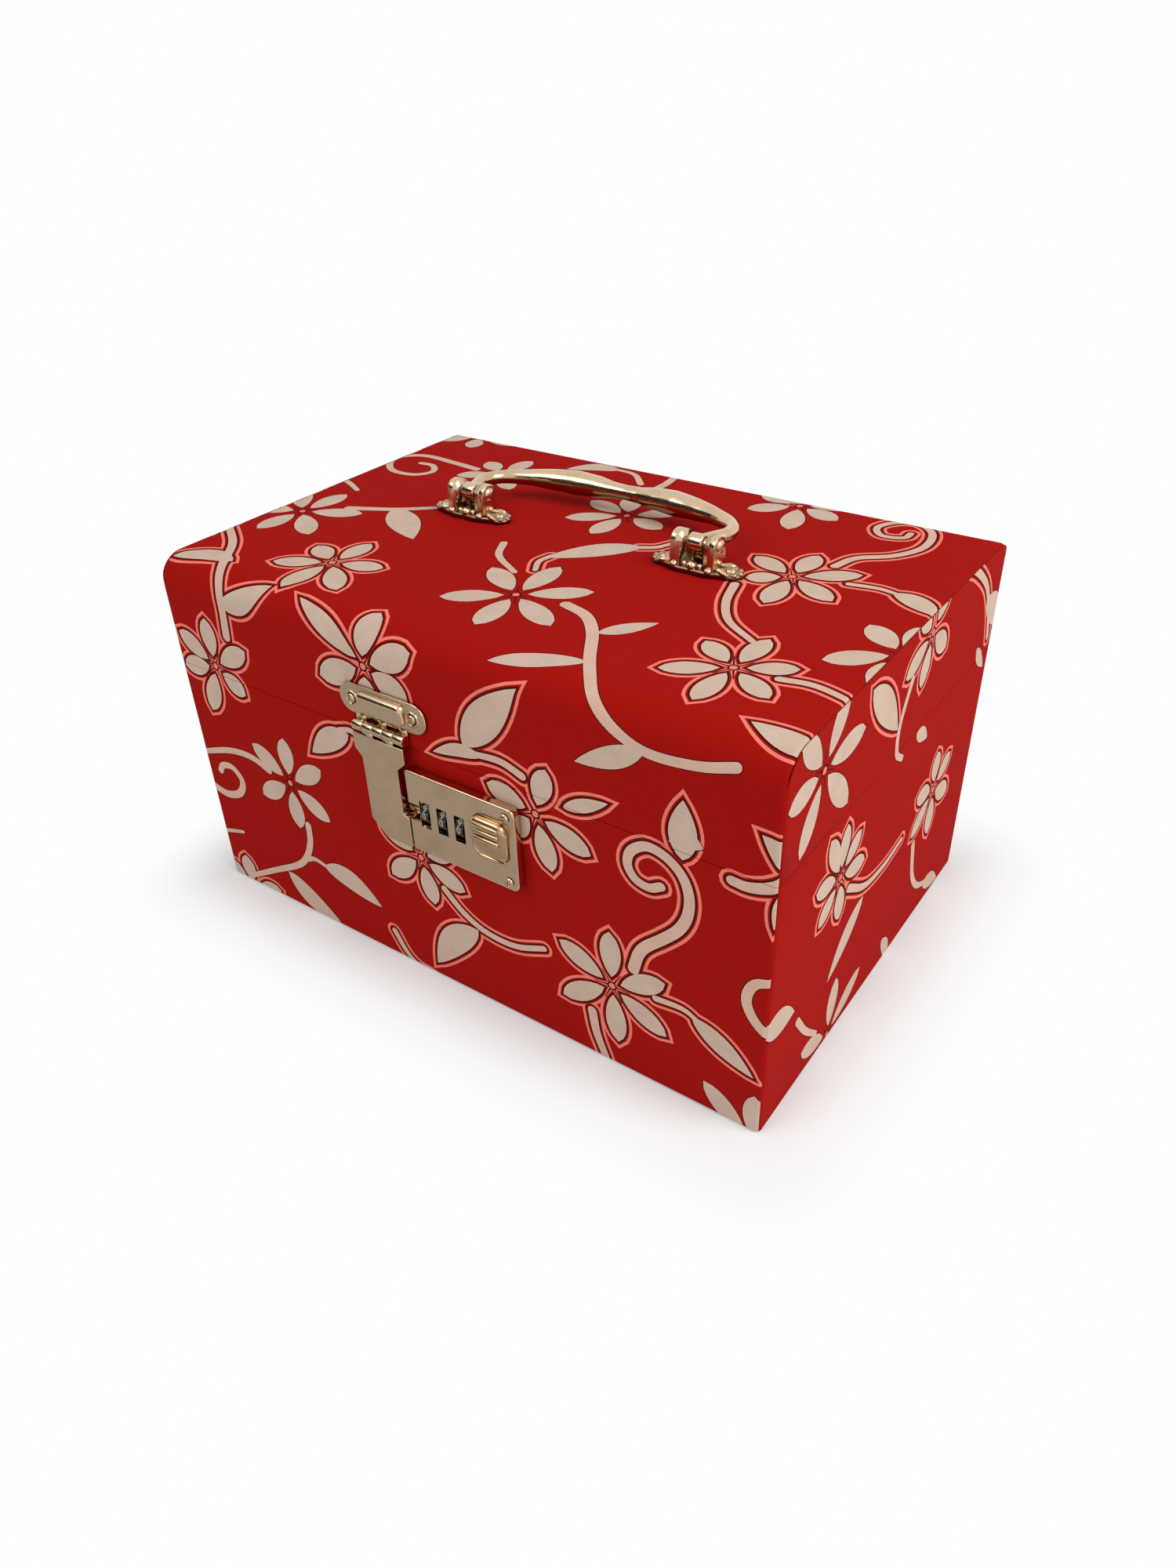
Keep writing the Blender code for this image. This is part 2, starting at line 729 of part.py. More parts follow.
def hinge_plate(name, outline, spans, root, teeth, basis, low, high):
    """A flat plate, with a web under the root over each span that ties it to its knuckle."""
    plate = slab(name, [outline], basis, low, high)
    skin = (high - low) * WEB_INSET_SHARE
    for start, end in spans:
        web = rectangle(start + GLUE, min(root, teeth), end - GLUE, max(root, teeth))
        plate = join(plate, slab("web", [web], basis, low + skin, high - skin))
    return plate


def hinge_stop(middle, spans, lean):
    """A flange that stands out from the barrel and leans from the level by an angle."""
    half = HINGE_LENGTH / 2
    root = HINGE_BARREL + WHEEL_GAP
    teeth = (HINGE_BARREL + HINGE_PIN + PIN_GAP) / 2
    outline = rectangle(middle - half, root, middle + half, STOP_REACH)
    basis = Matrix.Translation((0, hinge_axis_y(), SEAM_Z)) @ Matrix.Rotation(lean, 4, 'X')
    thick = HINGE_LEAF / 2
    return hinge_plate("stop", outline, spans, root + HINGE_LEAF, teeth, basis, -thick, thick)


def make_hinge_leaf(name, middle, side, own, holder=None):
    """One leaf with its knuckles and its stop: side -1 hangs below the pin, +1 stands above it."""
    face = REAR + GLUE
    y = hinge_axis_y()
    near = SEAM_Z + side * (HINGE_BARREL + WHEEL_GAP)
    far = SEAM_Z + side * HINGE_LEAF_HEIGHT
    half = HINGE_LENGTH / 2
    spans = knuckle_spans(middle, HINGE_LENGTH, HINGE_KNUCKLES, own)
    corners = [
        (middle + half, near, 0),
        (middle + half, far, LEAF_ROUND),
        (middle - half, far, LEAF_ROUND),
        (middle - half, near, 0),
    ]
    if side < 0:
        corners.reverse()
    teeth = (near + SEAM_Z) / 2
    root = near + side * HINGE_LEAF
    leaf = hinge_plate(name, rounded(corners), spans, root, teeth, ALONG_Y, -face - HINGE_LEAF, -face)
    clear = HINGE_BARREL + WHEEL_GAP
    seat_angle = 2 * math.asin((HINGE_LEAF + RUNNING_GAP) / 2 / clear)
    lean = STOP_LEAN if side > 0 else STOP_LEAN - LID_OPENS - seat_angle
    leaf = join(leaf, *[rod_x("knuckle", y, SEAM_Z, HINGE_BARREL, low, high) for low, high in spans])
    leaf = join(leaf, hinge_stop(middle, spans, lean))
    bore = rod_x("bore", y, SEAM_Z, HINGE_PIN + PIN_GAP, middle - half - OVERRUN, middle + half + OVERRUN)
    leaf = cut(leaf, bore)
    head_z = SEAM_Z + side * (HINGE_LEAF_HEIGHT + HINGE_BARREL) / 2
    outer = face + HINGE_LEAF
    for step in (-1, 0, 1):
        head_x = middle + step * (half - HINGE_HEAD_RADIUS - LEAF_ROUND)
        head = rod_y("head", head_x, head_z, HINGE_HEAD_RADIUS, outer - HINGE_LEAF / 2, outer + HINGE_HEAD_PROUD, 8)
        leaf = join(leaf, head)
    finish(leaf, gilt, (middle, y, SEAM_Z), holder)


def make_hinges(holder):
    for word, side in (("left", -1), ("right", 1)):
        middle = side * HINGE_X
        half = HINGE_LENGTH / 2
        make_hinge_leaf("hinge_leaf_base_" + word, middle, -1, 0)
        make_hinge_leaf("hinge_leaf_lid_" + word, middle, 1, 1, holder)
        pin = rod_x("hinge_pin_" + word, hinge_axis_y(), SEAM_Z, HINGE_PIN, middle - half, middle + half)
        finish(pin, steel, (middle, hinge_axis_y(), SEAM_Z), holder)


# Hasp on the front of the lid.

def hasp_axis_y():
    return FRONT - GLUE - HASP_BARREL


def hasp_axis_z():
    return SEAM_Z + HASP_RISE


def hasp_screw_xs():
    return [HASP_PLATE_X + side * HASP_SCREW_SPAN / 2 for side in (-1, 1)]


def hasp_plate_z():
    return hasp_axis_z() + HASP_PLATE_RISE + HASP_PLATE_HEIGHT / 2


def screw_hole_end():
    """How far in from the outer face of a board a screw's tip reaches."""
    return CLOTH + GLUE + BOARD - SCREW_TIP_COVER


def hasp_screw_holes():
    depth = FRONT + screw_hole_end() + GLUE
    radius = SCREW_SHANK + PIN_GAP
    return [rod_y("hole", x, hasp_plate_z(), radius, FRONT - OVERRUN, depth) for x in hasp_screw_xs()]


def make_hasp_plate(holder):
    """Plate with a lobe round each screw, a raised bar between them, and the fixed knuckles."""
    face = FRONT - GLUE
    z = hasp_plate_z()
    lobe = HASP_PLATE_HEIGHT / 2
    ends = hasp_screw_xs()
    plate_outline = rectangle(ends[0] - lobe, z - lobe, ends[1] + lobe, z + lobe, lobe - WELD)
    plate = slab_y("hasp_plate", face - HASP_PLATE, face, plate_outline)
    strip_x = HASP_WIDTH / 2
    strip_low = hasp_axis_z() + HASP_BARREL + WHEEL_GAP
    strip = box("strip", (HASP_X - strip_x, face - HASP_PLATE, strip_low), (HASP_X + strip_x, face, z))
    bar_x = HASP_BAR_LENGTH / 2
    bar_z = HASP_BAR_HEIGHT / 2
    bar_outline = rectangle(HASP_PLATE_X - bar_x, z - bar_z, HASP_PLATE_X + bar_x, z + bar_z, bar_z / 2)
    bar = slab_y("bar", face - HASP_PLATE - HASP_BAR_PROUD, face - HASP_PLATE / 2, bar_outline)
    bar = soften(bar, HASP_BAR_PROUD / 2)
    plate = join(plate, strip, bar)
    for low, high in knuckle_spans(HASP_X, HASP_WIDTH, HASP_KNUCKLES, 0):
        web_high = (high, face, strip_low + HASP_PLATE)
        web = box("web", (low, face - HASP_PLATE, hasp_axis_z()), web_high)
        barrel = rod_x("knuckle", hasp_axis_y(), hasp_axis_z(), HASP_BARREL, low, high, ROUND_SIDES)
        plate = join(plate, web, barrel)
    plate = cut(plate, hasp_bore())
    for x in ends:
        hole = rod_y("hole", x, z, SCREW_SHANK + PIN_GAP, face - HASP_PLATE - OVERRUN, face + OVERRUN)
        plate = cut(plate, hole)
    axis = (HASP_X, hasp_axis_y(), hasp_axis_z())
    finish(plate, gilt, axis, holder)
    pin = rod_x("hasp_pin", axis[1], axis[2], HASP_PIN, HASP_X - strip_x, HASP_X + strip_x)
    finish(pin, steel, axis, holder)
    seat = face - HASP_PLATE - GLUE
    length = screw_hole_end() + FRONT - seat
    for name, x in zip(("hasp_screw_left", "hasp_screw_right"), ends):
        make_screw(name, (x, seat, z), (0, -1, 0), length, holder)


def hasp_bore():
    reach = HASP_WIDTH / 2 + OVERRUN
    radius = HASP_PIN + PIN_GAP
    return rod_x("bore", hasp_axis_y(), hasp_axis_z(), radius, HASP_X - reach, HASP_X + reach)


def lock_left():
    return LOCK_RIGHT - LOCK_WIDTH


def lock_top():
    return SEAM_Z - LOCK_DROP


def lock_low():
    return lock_top() - LOCK_HEIGHT


def foot_right():
    return lock_left() - RUNNING_GAP


def foot_left():
    return HASP_X - HASP_WIDTH / 2 + ARM_LEFT_INSET


def make_hasp_arm(holder):
    """The swinging arm: shoulder, narrower shank, and the thick foot that takes the bolt."""
    left = HASP_X - HASP_WIDTH / 2
    right = HASP_X + HASP_WIDTH / 2
    axis = (HASP_X, hasp_axis_y(), hasp_axis_z())
    top = hasp_axis_z() - ARM_TOP_DROP
    shoulder = hasp_axis_z() - SHOULDER_DROP
    low = lock_low()
    foot_top = low + FOOT_HEIGHT
    shank = foot_left() + ARM_WIDTH
    outline = rounded([
        (foot_left() + FOOT_CHAMFER, low, ARM_ROUND),
        (foot_right(), low, ARM_ROUND),
        (foot_right(), foot_top, ARM_ROUND),
        (shank, foot_top, ARM_ROUND),
        (shank, shoulder - SHOULDER_SLOPE, ARM_ROUND),
        (right, shoulder, ARM_ROUND),
        (right, top, 0),
        (left, top, 0),
        (left, shoulder, ARM_ROUND),
        (foot_left(), shoulder - SHOULDER_SLOPE, ARM_ROUND),
        (foot_left(), low + FOOT_CHAMFER, ARM_ROUND),
    ], 3)
    outer = hasp_axis_y() - HASP_BARREL
    inner = outer + ARM_THICK
    arm = soften(slab_y("hasp_arm", outer, inner, outline), ARM_EDGE, 1)
    for low_x, high_x in knuckle_spans(HASP_X, HASP_WIDTH, HASP_KNUCKLES, 0):
        reach = HASP_BARREL + WHEEL_GAP
        ends = 2 * GLUE
        clear = rod_x("clear", axis[1], axis[2], reach, low_x - ends, high_x + ends, ROUND_SIDES)
        arm = cut(arm, clear)
    back = FRONT - GLUE - LOCK_PLATE - RUNNING_GAP
    edge = ARM_EDGE + GLUE
    block = slab_y("block", outer + ARM_THICK / 2, back, rounded([
        (foot_left() + FOOT_CHAMFER + edge, low + edge, ARM_ROUND),
        (foot_right() - edge, low + edge, ARM_ROUND),
        (foot_right() - edge, foot_top - edge, ARM_ROUND),
        (foot_left() + edge, foot_top - edge, ARM_ROUND),
        (foot_left() + edge, low + FOOT_CHAMFER + edge, ARM_ROUND),
    ], 3))
    arm = join(arm, block)
    for low_x, high_x in knuckle_spans(HASP_X, HASP_WIDTH, HASP_KNUCKLES, 1):
        skin = ARM_THICK * WEB_INSET_SHARE
        web_low = (low_x + ends, outer + skin, top - ARM_THICK)
        web = box("web", web_low, (high_x - ends, inner - skin, axis[2] - HASP_PIN))
        barrel = rod_x("knuckle", axis[1], axis[2], HASP_BARREL, low_x, high_x, ROUND_SIDES)
        arm = join(arm, web, barrel)
    arm = cut(arm, hasp_bore())
    gap = WHEEL_GAP
    socket_low = (foot_right() - BOLT_SOCKET, back_of_bolt() - BOLT_THICK - gap, low + BOLT_RISE - gap)
    socket_high = (foot_right() + OVERRUN, back + OVERRUN, low + BOLT_RISE + BOLT_HEIGHT + gap)
    arm = cut(arm, box("socket", socket_low, socket_high))
    finish(arm, gilt, axis, holder)


# Lock on the front of the base.

def plate_face():
    """Front of the lock plate."""
    return FRONT - GLUE - LOCK_PLATE


def case_back():
    return plate_face() - RUNNING_GAP


def case_front():
    return case_back() - LOCK_DEPTH


def back_of_bolt():
    return plate_face() - RUNNING_GAP


def wheel_xs():
    return [lock_left() + FIRST_WHEEL_INSET + WHEEL_PITCH * i for i in range(3)]


def wheel_y():
    return case_front() - WHEEL_PROUD + WHEEL_RADIUS


def wheel_z():
    return lock_low() + WHEEL_RISE


def ear_spans():
    """Ends of the two ears that carry the axle, outside the first and the last wheel."""
    first, last = wheel_xs()[0], wheel_xs()[-1]
    reach = WHEEL_WIDTH / 2 + WINDOW_MARGIN + GLUE
    return [(first - reach - EAR, first - reach), (last + reach, last + reach + EAR)]


def wheel_opening(name, near, far):
    """A block round all three wheels, from near to far along Y."""
    spans = ear_spans()
    half = WHEEL_RADIUS + WINDOW_MARGIN
    return box(name, (spans[0][1], near, wheel_z() - half), (spans[1][0], far, wheel_z() + half))


def lock_screw_places():
    x = LOCK_RIGHT - LOCK_SCREW_INSET
    return [(x, lock_top() - LOCK_SCREW_MARGIN), (x, lock_low() + LOCK_SCREW_MARGIN)]


def lock_recesses(layer):
    """Mortise for the wheels, and the screws' holes, as tools for one layer of the wall."""
    depth = wheel_y() + WHEEL_RADIUS + WHEEL_GAP
    half = WHEEL_RADIUS + WINDOW_MARGIN
    left = ear_spans()[0][0] - GLUE
    right = ear_spans()[1][1] + GLUE
    low = (left, FRONT - OVERRUN, wheel_z() - half)
    tools = [box("mortise_" + layer, low, (right, depth, wheel_z() + half))]
    for x, z in lock_screw_places():
        end = FRONT + screw_hole_end() + GLUE
        tools.append(rod_y("hole", x, z, SCREW_SHANK + PIN_GAP, FRONT - OVERRUN, end))
    return tools


def make_lock_plate():
    """Backing sheet: full size behind the case, with a tongue under the hasp's foot."""
    low = lock_low() + LOCK_EDGE
    tongue_top = low + FOOT_HEIGHT - ARM_ROUND
    right = LOCK_RIGHT - LOCK_EDGE
    outline = rounded([
        (foot_left() + FOOT_CHAMFER, low, ARM_ROUND),
        (right, low, LOCK_ROUND),
        (right, lock_top() - LOCK_EDGE, LOCK_ROUND),
        (lock_left() + LOCK_EDGE, lock_top() - LOCK_EDGE, ARM_ROUND),
        (lock_left() + LOCK_EDGE, tongue_top, 0),
        (foot_left() + ARM_ROUND, tongue_top, ARM_ROUND),
        (foot_left() + ARM_ROUND, low + FOOT_CHAMFER, ARM_ROUND),
    ], 3)
    face = plate_face()
    plate = slab_y("lock_plate", face, face + LOCK_PLATE, outline)
    plate = cut(plate, wheel_opening("opening", face - OVERRUN, face + OVERRUN))
    half = EAR_WIDTH / 2
    tip = wheel_y() - half
    for low_x, high_x in ear_spans():
        z = wheel_z()
        ear = box("ear", (low_x, tip, z - half), (high_x, wheel_y() + half, z + half))
        plate = join(plate, ear)
    reach = WHEEL_PITCH * len(wheel_xs())
    bore_low = wheel_xs()[0] - reach
    bore_high = wheel_xs()[-1] + reach
    plate = cut(plate, rod_x("bore", wheel_y(), wheel_z(), AXLE_RADIUS + PIN_GAP, bore_low, bore_high))
    for x, z in lock_screw_places():
        hole = rod_y("hole", x, z, SCREW_SHANK + PIN_GAP, face - OVERRUN, face + OVERRUN)
        plate = cut(plate, hole)
    finish(plate, gilt, (LOCK_RIGHT, face, lock_low()))


def make_lock_case():
    """Cast cover: open at the back, with windows for the wheels and slots for slide and bolt."""
    back = case_back()
    front = case_front()
    left = lock_left()
    top = lock_top()
    low = lock_low()
    case = slab_y("lock_case", front, back, rounded([
        (left, low, ARM_ROUND),
        (LOCK_RIGHT, low, LOCK_ROUND),
        (LOCK_RIGHT, top, LOCK_ROUND),
        (left, top, ARM_ROUND),
    ], 4))
    case = soften(case, LOCK_EDGE)
    wall = LOCK_WALL
    hollow_low = (left + wall, front + wall, low + wall)
    case = cut(case, box("hollow", hollow_low, (LOCK_RIGHT - wall, back + OVERRUN, top - wall)))
    for x, z in lock_screw_places():
        case = join(case, rod_y("boss", x, z, BOSS_RADIUS, front + wall / 2, back))
        case = cut(case, rod_y("hole", x, z, SCREW_SHANK + PIN_GAP, front - OVERRUN, back + OVERRUN))
    half_x = WHEEL_WIDTH / 2 + WINDOW_MARGIN
    half_z = WHEEL_RADIUS + WINDOW_MARGIN
    for x in wheel_xs():
        window_low = (x - half_x, front - OVERRUN, wheel_z() - half_z)
        window_high = (x + half_x, back + OVERRUN, wheel_z() + half_z)
        case = cut(case, box("window", window_low, window_high))
    half = STEM_WIDTH / 2
    gap = WHEEL_GAP
    slot_low = (button_x() - half - SLIDE_TRAVEL - gap, front - OVERRUN, button_z() - half - gap)
    slot_high = (button_x() + half + gap, front + wall + gap, button_z() + half + gap)
    case = cut(case, box("slot", slot_low, slot_high))
    bolt_low = (left - OVERRUN, back_of_bolt() - BOLT_THICK - gap, low + BOLT_RISE - gap)
    bolt_high = (left + wall + gap, back + OVERRUN, low + BOLT_RISE + BOLT_HEIGHT + gap)
    case = cut(case, box("bolt_slot", bolt_low, bolt_high))
    finish(case, gilt, (LOCK_RIGHT, back, low))

    seat = front - GLUE
    length = screw_hole_end() + FRONT - seat
    for name, (x, z) in zip(("lock_screw_top", "lock_screw_low"), lock_screw_places()):
        make_screw(name, (x, seat, z), (0, -1, 0), length, None)


def button_x():
    return LOCK_RIGHT - BUTTON_INSET - BUTTON_WIDTH / 2


def button_z():
    return lock_low() + BUTTON_RISE + BUTTON_HEIGHT / 2


def make_wheels():
    """The axle between the plate's ears, and three wheels, each with a flat for every number."""
    ears = ear_spans()
    axle = rod_x("wheel_axle", wheel_y(), wheel_z(), AXLE_RADIUS, ears[0][0], ears[1][1])
    finish(axle, steel, (ears[0][0], wheel_y(), wheel_z()))
    flats = 4 * WHEEL_NUMBERS
    for index, x in enumerate(wheel_xs(), 1):
        rim = []
        for step in range(flats):
            radius = WHEEL_RADIUS - (WHEEL_GROOVE if step % 4 == 0 else 0.0)
            angle = 2 * math.pi * (step + 2) / flats
            rim.append((wheel_y() + radius * math.cos(angle), wheel_z() + radius * math.sin(angle)))
        bore = circle(wheel_y(), wheel_z(), AXLE_RADIUS + PIN_GAP, SMALL_SIDES)
        half = WHEEL_WIDTH / 2
        wheel = slab_x("number_wheel_%d" % index, x - half, x + half, rim, bore)
        place = (x, wheel_y(), wheel_z())
        holder = pivot("number_wheel_%d_axis" % index, place)
        finish(wheel, gilt, place, holder)


def make_slide():
    """The finger button with its stem, and the bolt that the stem drives."""
    x = button_x()
    z = button_z()
    half_x = BUTTON_WIDTH / 2
    half_z = BUTTON_HEIGHT / 2
    inner = case_front() - RUNNING_GAP
    outer = inner - BUTTON_THICK
    outline = rectangle(x - half_x, z - half_z, x + half_x, z + half_z, BUTTON_ROUND)
    button = soften(slab_y("slide_button", outer, inner, outline), BUTTON_EDGE, 3)
    ridge_reach = half_x - BUTTON_ROUND
    for step in range(3):
        ridge_z = z + half_z - BUTTON_EDGE - RIDGE_RADIUS - RIDGE_PITCH * step
        ridge = rod_x("ridge", outer, ridge_z, RIDGE_RADIUS, x - ridge_reach, x + ridge_reach, 12)
        button = join(button, ridge)
    half = STEM_WIDTH / 2
    stem_tip = back_of_bolt() - BOLT_THICK / 2
    stem = box("stem", (x - half, inner - BUTTON_THICK / 2, z - half), (x + half, stem_tip, z + half))
    place = (x, inner, z)
    holder = pivot("lock_slide_line", place)
    finish(join(button, stem), gilt, place, holder)

    left = lock_left() + WHEEL_GAP
    low = lock_low() + BOLT_RISE
    tab = BOLT_TAB_WIDTH / 2
    back = back_of_bolt()
    bolt = box("latch_bolt", (left, back - BOLT_THICK, low), (x + tab, back, low + BOLT_HEIGHT))
    upright = box("upright", (x - tab, back - BOLT_THICK, low), (x + tab, back, z + tab))
    bolt = join(bolt, upright)
    gap = GLUE
    hole_low = (x - half - gap, back - BOLT_THICK - OVERRUN, z - half - gap)
    bolt = cut(bolt, box("hole", hole_low, (x + half + gap, back + OVERRUN, z + half + gap)))
    finish(bolt, steel, (x, back, low), holder)


# Carrying handle on the lid.

def lug_seat():
    return BOX_HEIGHT + GLUE


def pivot_z():
    return BOX_HEIGHT + PIVOT_RISE


def lug_xs():
    return [HANDLE_X + side * LUG_SPAN / 2 for side in (-1, 1)]


def lug_screw_places():
    half = LUG_SCREW_SPAN / 2
    return [(x + side * half, HANDLE_Y) for x in lug_xs() for side in (-1, 1)]


def lug_screw_holes():
    low = BOX_HEIGHT - screw_hole_end() - GLUE
    radius = SCREW_SHANK + PIN_GAP
    return [rod_z("hole", x, y, radius, low, BOX_HEIGHT + OVERRUN) for x, y in lug_screw_places()]


def scalloped(x, y, half_length, half_width, lobes, depth_share):
    """A long oval whose edge swells and draws in a number of times."""
    outline = []
    steps = 4 * lobes
    for step in range(steps):
        angle = 2 * math.pi * step / steps
        swell = 1 - depth_share * (1 - math.cos(lobes * angle)) / 2
        outline.append((x + half_length * swell * math.cos(angle), y + half_width * swell * math.sin(angle)))
    return outline


def rosette_profile():
    """A dished round boss, from the middle of its dish out and down."""
    dish = ROSETTE_HEIGHT - SCREW_DOME
    crest = ROSETTE_RADIUS * ROSETTE_CREST_SHARE
    return [
        (0.0, dish),
        (SCREW_HEAD + GLUE, dish),
        (crest, ROSETTE_HEIGHT),
        (ROSETTE_RADIUS, ROSETTE_HEIGHT - SCREW_DOME / 2),
        (ROSETTE_RADIUS, LUG_PLATE / 2),
        (0.0, LUG_PLATE / 2),
    ]


def make_lug(name, x, holder):
    """Scalloped foot plate with a rosette at each end, beads, and two cheeks for the pin."""
    seat = lug_seat()
    y = HANDLE_Y
    foot = scalloped(x, y, LUG_LENGTH / 2, LUG_WIDTH / 2, LUG_LOBES, LOBE_DEPTH_SHARE)
    lug = slab_z(name, seat, seat + LUG_PLATE, foot)
    for side in (-1, 1):
        centre = Matrix.Translation((x + side * LUG_SCREW_SPAN / 2, y, seat))
        lug = join(lug, turned("rosette", rosette_profile(), centre, ROUND_SIDES))
    foot_half = CHEEK_FOOT / 2
    top = pivot_z() + CHEEK_RADIUS
    cheek_outline = rounded([
        (y - foot_half, seat + LUG_PLATE / 2, 0),
        (y + foot_half, seat + LUG_PLATE / 2, 0),
        (y + CHEEK_RADIUS, top, CHEEK_RADIUS * CHEEK_TIP_SHARE),
        (y - CHEEK_RADIUS, top, CHEEK_RADIUS * CHEEK_TIP_SHARE),
    ], 5)
    for side in (-1, 1):
        near = side * CHEEK_GAP / 2
        far = side * (CHEEK_GAP / 2 + CHEEK_THICK)
        ends = sorted((x + near, x + far))
        lug = join(lug, soften(slab_x("cheek", ends[0], ends[1], cheek_outline), CHEEK_EDGE, 1))
    reach_y = LUG_WIDTH / 2 - BEAD_RADIUS
    bead_x = CHEEK_GAP / 2 + CHEEK_THICK / 2
    for across, along in ((-1, -1), (0, -1), (1, -1), (-1, 1), (1, 1)):
        place = (x + across * bead_x, y + along * reach_y, seat + LUG_PLATE)
        lug = join(lug, ball("bead", place, BEAD_RADIUS))
    reach = CHEEK_GAP / 2 + CHEEK_THICK + OVERRUN
    lug = cut(lug, rod_x("bore", y, pivot_z(), LUG_PIN + PIN_GAP, x - reach, x + reach))
    for side in (-1, 1):
        hole_x = x + side * LUG_SCREW_SPAN / 2
        hole_top = seat + ROSETTE_HEIGHT + OVERRUN
        lug = cut(lug, rod_z("hole", hole_x, y, SCREW_SHANK + PIN_GAP, seat - OVERRUN, hole_top))
    finish(lug, gilt, (x, y, seat), holder)


def make_lugs(holder):
    for word, x in zip(("left", "right"), lug_xs()):
        make_lug("handle_lug_" + word, x, holder)
        reach = CHEEK_GAP / 2 + CHEEK_THICK
        pin = rod_x("handle_pin_" + word, HANDLE_Y, pivot_z(), LUG_PIN, x - reach, x + reach)
        finish(pin, steel, (x, HANDLE_Y, pivot_z()), holder)
    seat = lug_seat() + ROSETTE_HEIGHT - SCREW_DOME + GLUE
    length = seat - BOX_HEIGHT + screw_hole_end()
    names = ["lug_screw_%d" % number for number in (1, 2, 3, 4)]
    for name, (x, y) in zip(names, lug_screw_places()):
        make_screw(name, (x, y, seat), (0, 0, 1), length, holder)


# Right half of the bail's centre line, from the knuckle to the middle of the grip. Each row
# holds shares of the half span, of the outward bulge and of the reach.
BAIL_SHARES = (
    (1.00, 0.00, 0.00),
    (1.00, 0.55, 0.19),
    (1.00, 1.00, 0.41),
    (1.00, 0.40, 0.64),
    (0.85, 0.00, 0.83),
    (0.61, 0.00, 0.94),
    (0.42, 0.00, 0.985),
    (0.20, 0.00, 1.00),
    (0.00, 0.00, 1.00),
)


def bail_half():
    """Places in the bail's own plane, with the tube's radius at each."""
    arm = BAIL_ARM_RADIUS
    grip = BAIL_GRIP_RADIUS
    waist = BAIL_WAIST_RADIUS
    radii = (arm, arm, arm, arm, (arm + waist) / 2, waist, grip, (grip + waist) / 2, waist)
    places = []
    for (span, bulge, reach), radius in zip(BAIL_SHARES, radii):
        places.append((LUG_SPAN / 2 * span + BAIL_OUTWARD * bulge, BAIL_REACH * reach, radius))
    return places


def make_bail(holder):
    """One cast bow: a swelling grip, bent arms and a knuckle with a heel at each end."""
    right = bail_half()
    left = [(-x, y, radius) for x, y, radius in right[-2::-1]]
    path = right + left
    data = bpy.data.curves.new("handle_bail", 'CURVE')
    data.dimensions = '3D'
    data.resolution_u = 3
    data.bevel_depth = BAIL_ARM_RADIUS
    data.bevel_resolution = 3
    data.use_fill_caps = True
    spline = data.splines.new('BEZIER')
    spline.bezier_points.add(len(path) - 1)
    for point, (x, y, radius) in zip(spline.bezier_points, path):
        drop = y * math.sin(BAIL_DROOP)
        point.co = (HANDLE_X + x, HANDLE_Y + y * math.cos(BAIL_DROOP), pivot_z() - drop)
        point.radius = radius / BAIL_ARM_RADIUS
        point.handle_left_type = 'AUTO'
        point.handle_right_type = 'AUTO'
    bail = settle(add_object("handle_bail", data), True)
    low = lug_seat() + LUG_PLATE + RUNNING_GAP
    for x in lug_xs():
        half = KNUCKLE_WIDTH / 2
        collar = CHEEK_GAP / 2 - RUNNING_GAP
        heel = HEEL_WIDTH / 2
        bail = join(
            bail,
            rod_x("knuckle", HANDLE_Y, pivot_z(), KNUCKLE_RADIUS, x - half, x + half, ROUND_SIDES),
            rod_x("collar", HANDLE_Y, pivot_z(), COLLAR_RADIUS, x - collar, x + collar, ROUND_SIDES),
            box("heel", (x - heel, HANDLE_Y, low), (x + heel, HANDLE_Y + HEEL_DEPTH, pivot_z())),
        )
        bore = rod_x("bore", HANDLE_Y, pivot_z(), LUG_PIN + PIN_GAP, x - collar - OVERRUN, x + collar + OVERRUN)
        bail = cut(bail, bore)
    finish(bail, gilt, (HANDLE_X, HANDLE_Y, pivot_z()), holder)


clear_scene()
parts = new_collection(OBJECT_NAME)
bench = new_collection("cutters")

printed_cloth = make_material("printed_cloth", (0.42, 0.012, 0.008), 0.85)
board = make_material("board", (0.48, 0.33, 0.19), 0.8)
velvet = make_material("velvet", (0.20, 0.008, 0.012), 0.95)
ribbon = make_material("ribbon", (0.55, 0.36, 0.12), 0.5)
sheet = make_material("sheet", (0.02, 0.018, 0.016), 0.7)
gilt = make_material("gilt", (0.60, 0.47, 0.31), 0.25, 1.0)
steel = make_material("steel", (0.55, 0.55, 0.53), 0.3, 1.0)
silvered_glass = make_material("silvered_glass", (0.9, 0.92, 0.92), 0.02, 1.0)

lid = pivot("lid_hinge_line", (0, hinge_axis_y(), SEAM_Z))
hasp = pivot("hasp_line", (HASP_X, hasp_axis_y(), hasp_axis_z()), lid)
handle = pivot("handle_line", (HANDLE_X, HANDLE_Y, pivot_z()), lid)
tray = pivot("tray_lift_line", (0, 0, tray_low()))

make_base_boards()
make_base_cloth()
make_sole()
make_base_lining()
make_cleats()
make_tray(tray)
make_lid_boards(lid)
make_lid_cloth(lid)
make_lid_lining(lid)
make_mirror(lid)
make_hinges(lid)
make_hasp_plate(lid)
make_hasp_arm(hasp)
make_lock_plate()
make_lock_case()
make_wheels()
make_slide()
make_lugs(lid)
make_bail(handle)
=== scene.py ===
import json
import math

import bmesh
import bpy
import numpy as np
from mathutils import Matrix, Vector
from mathutils.geometry import delaunay_2d_cdt

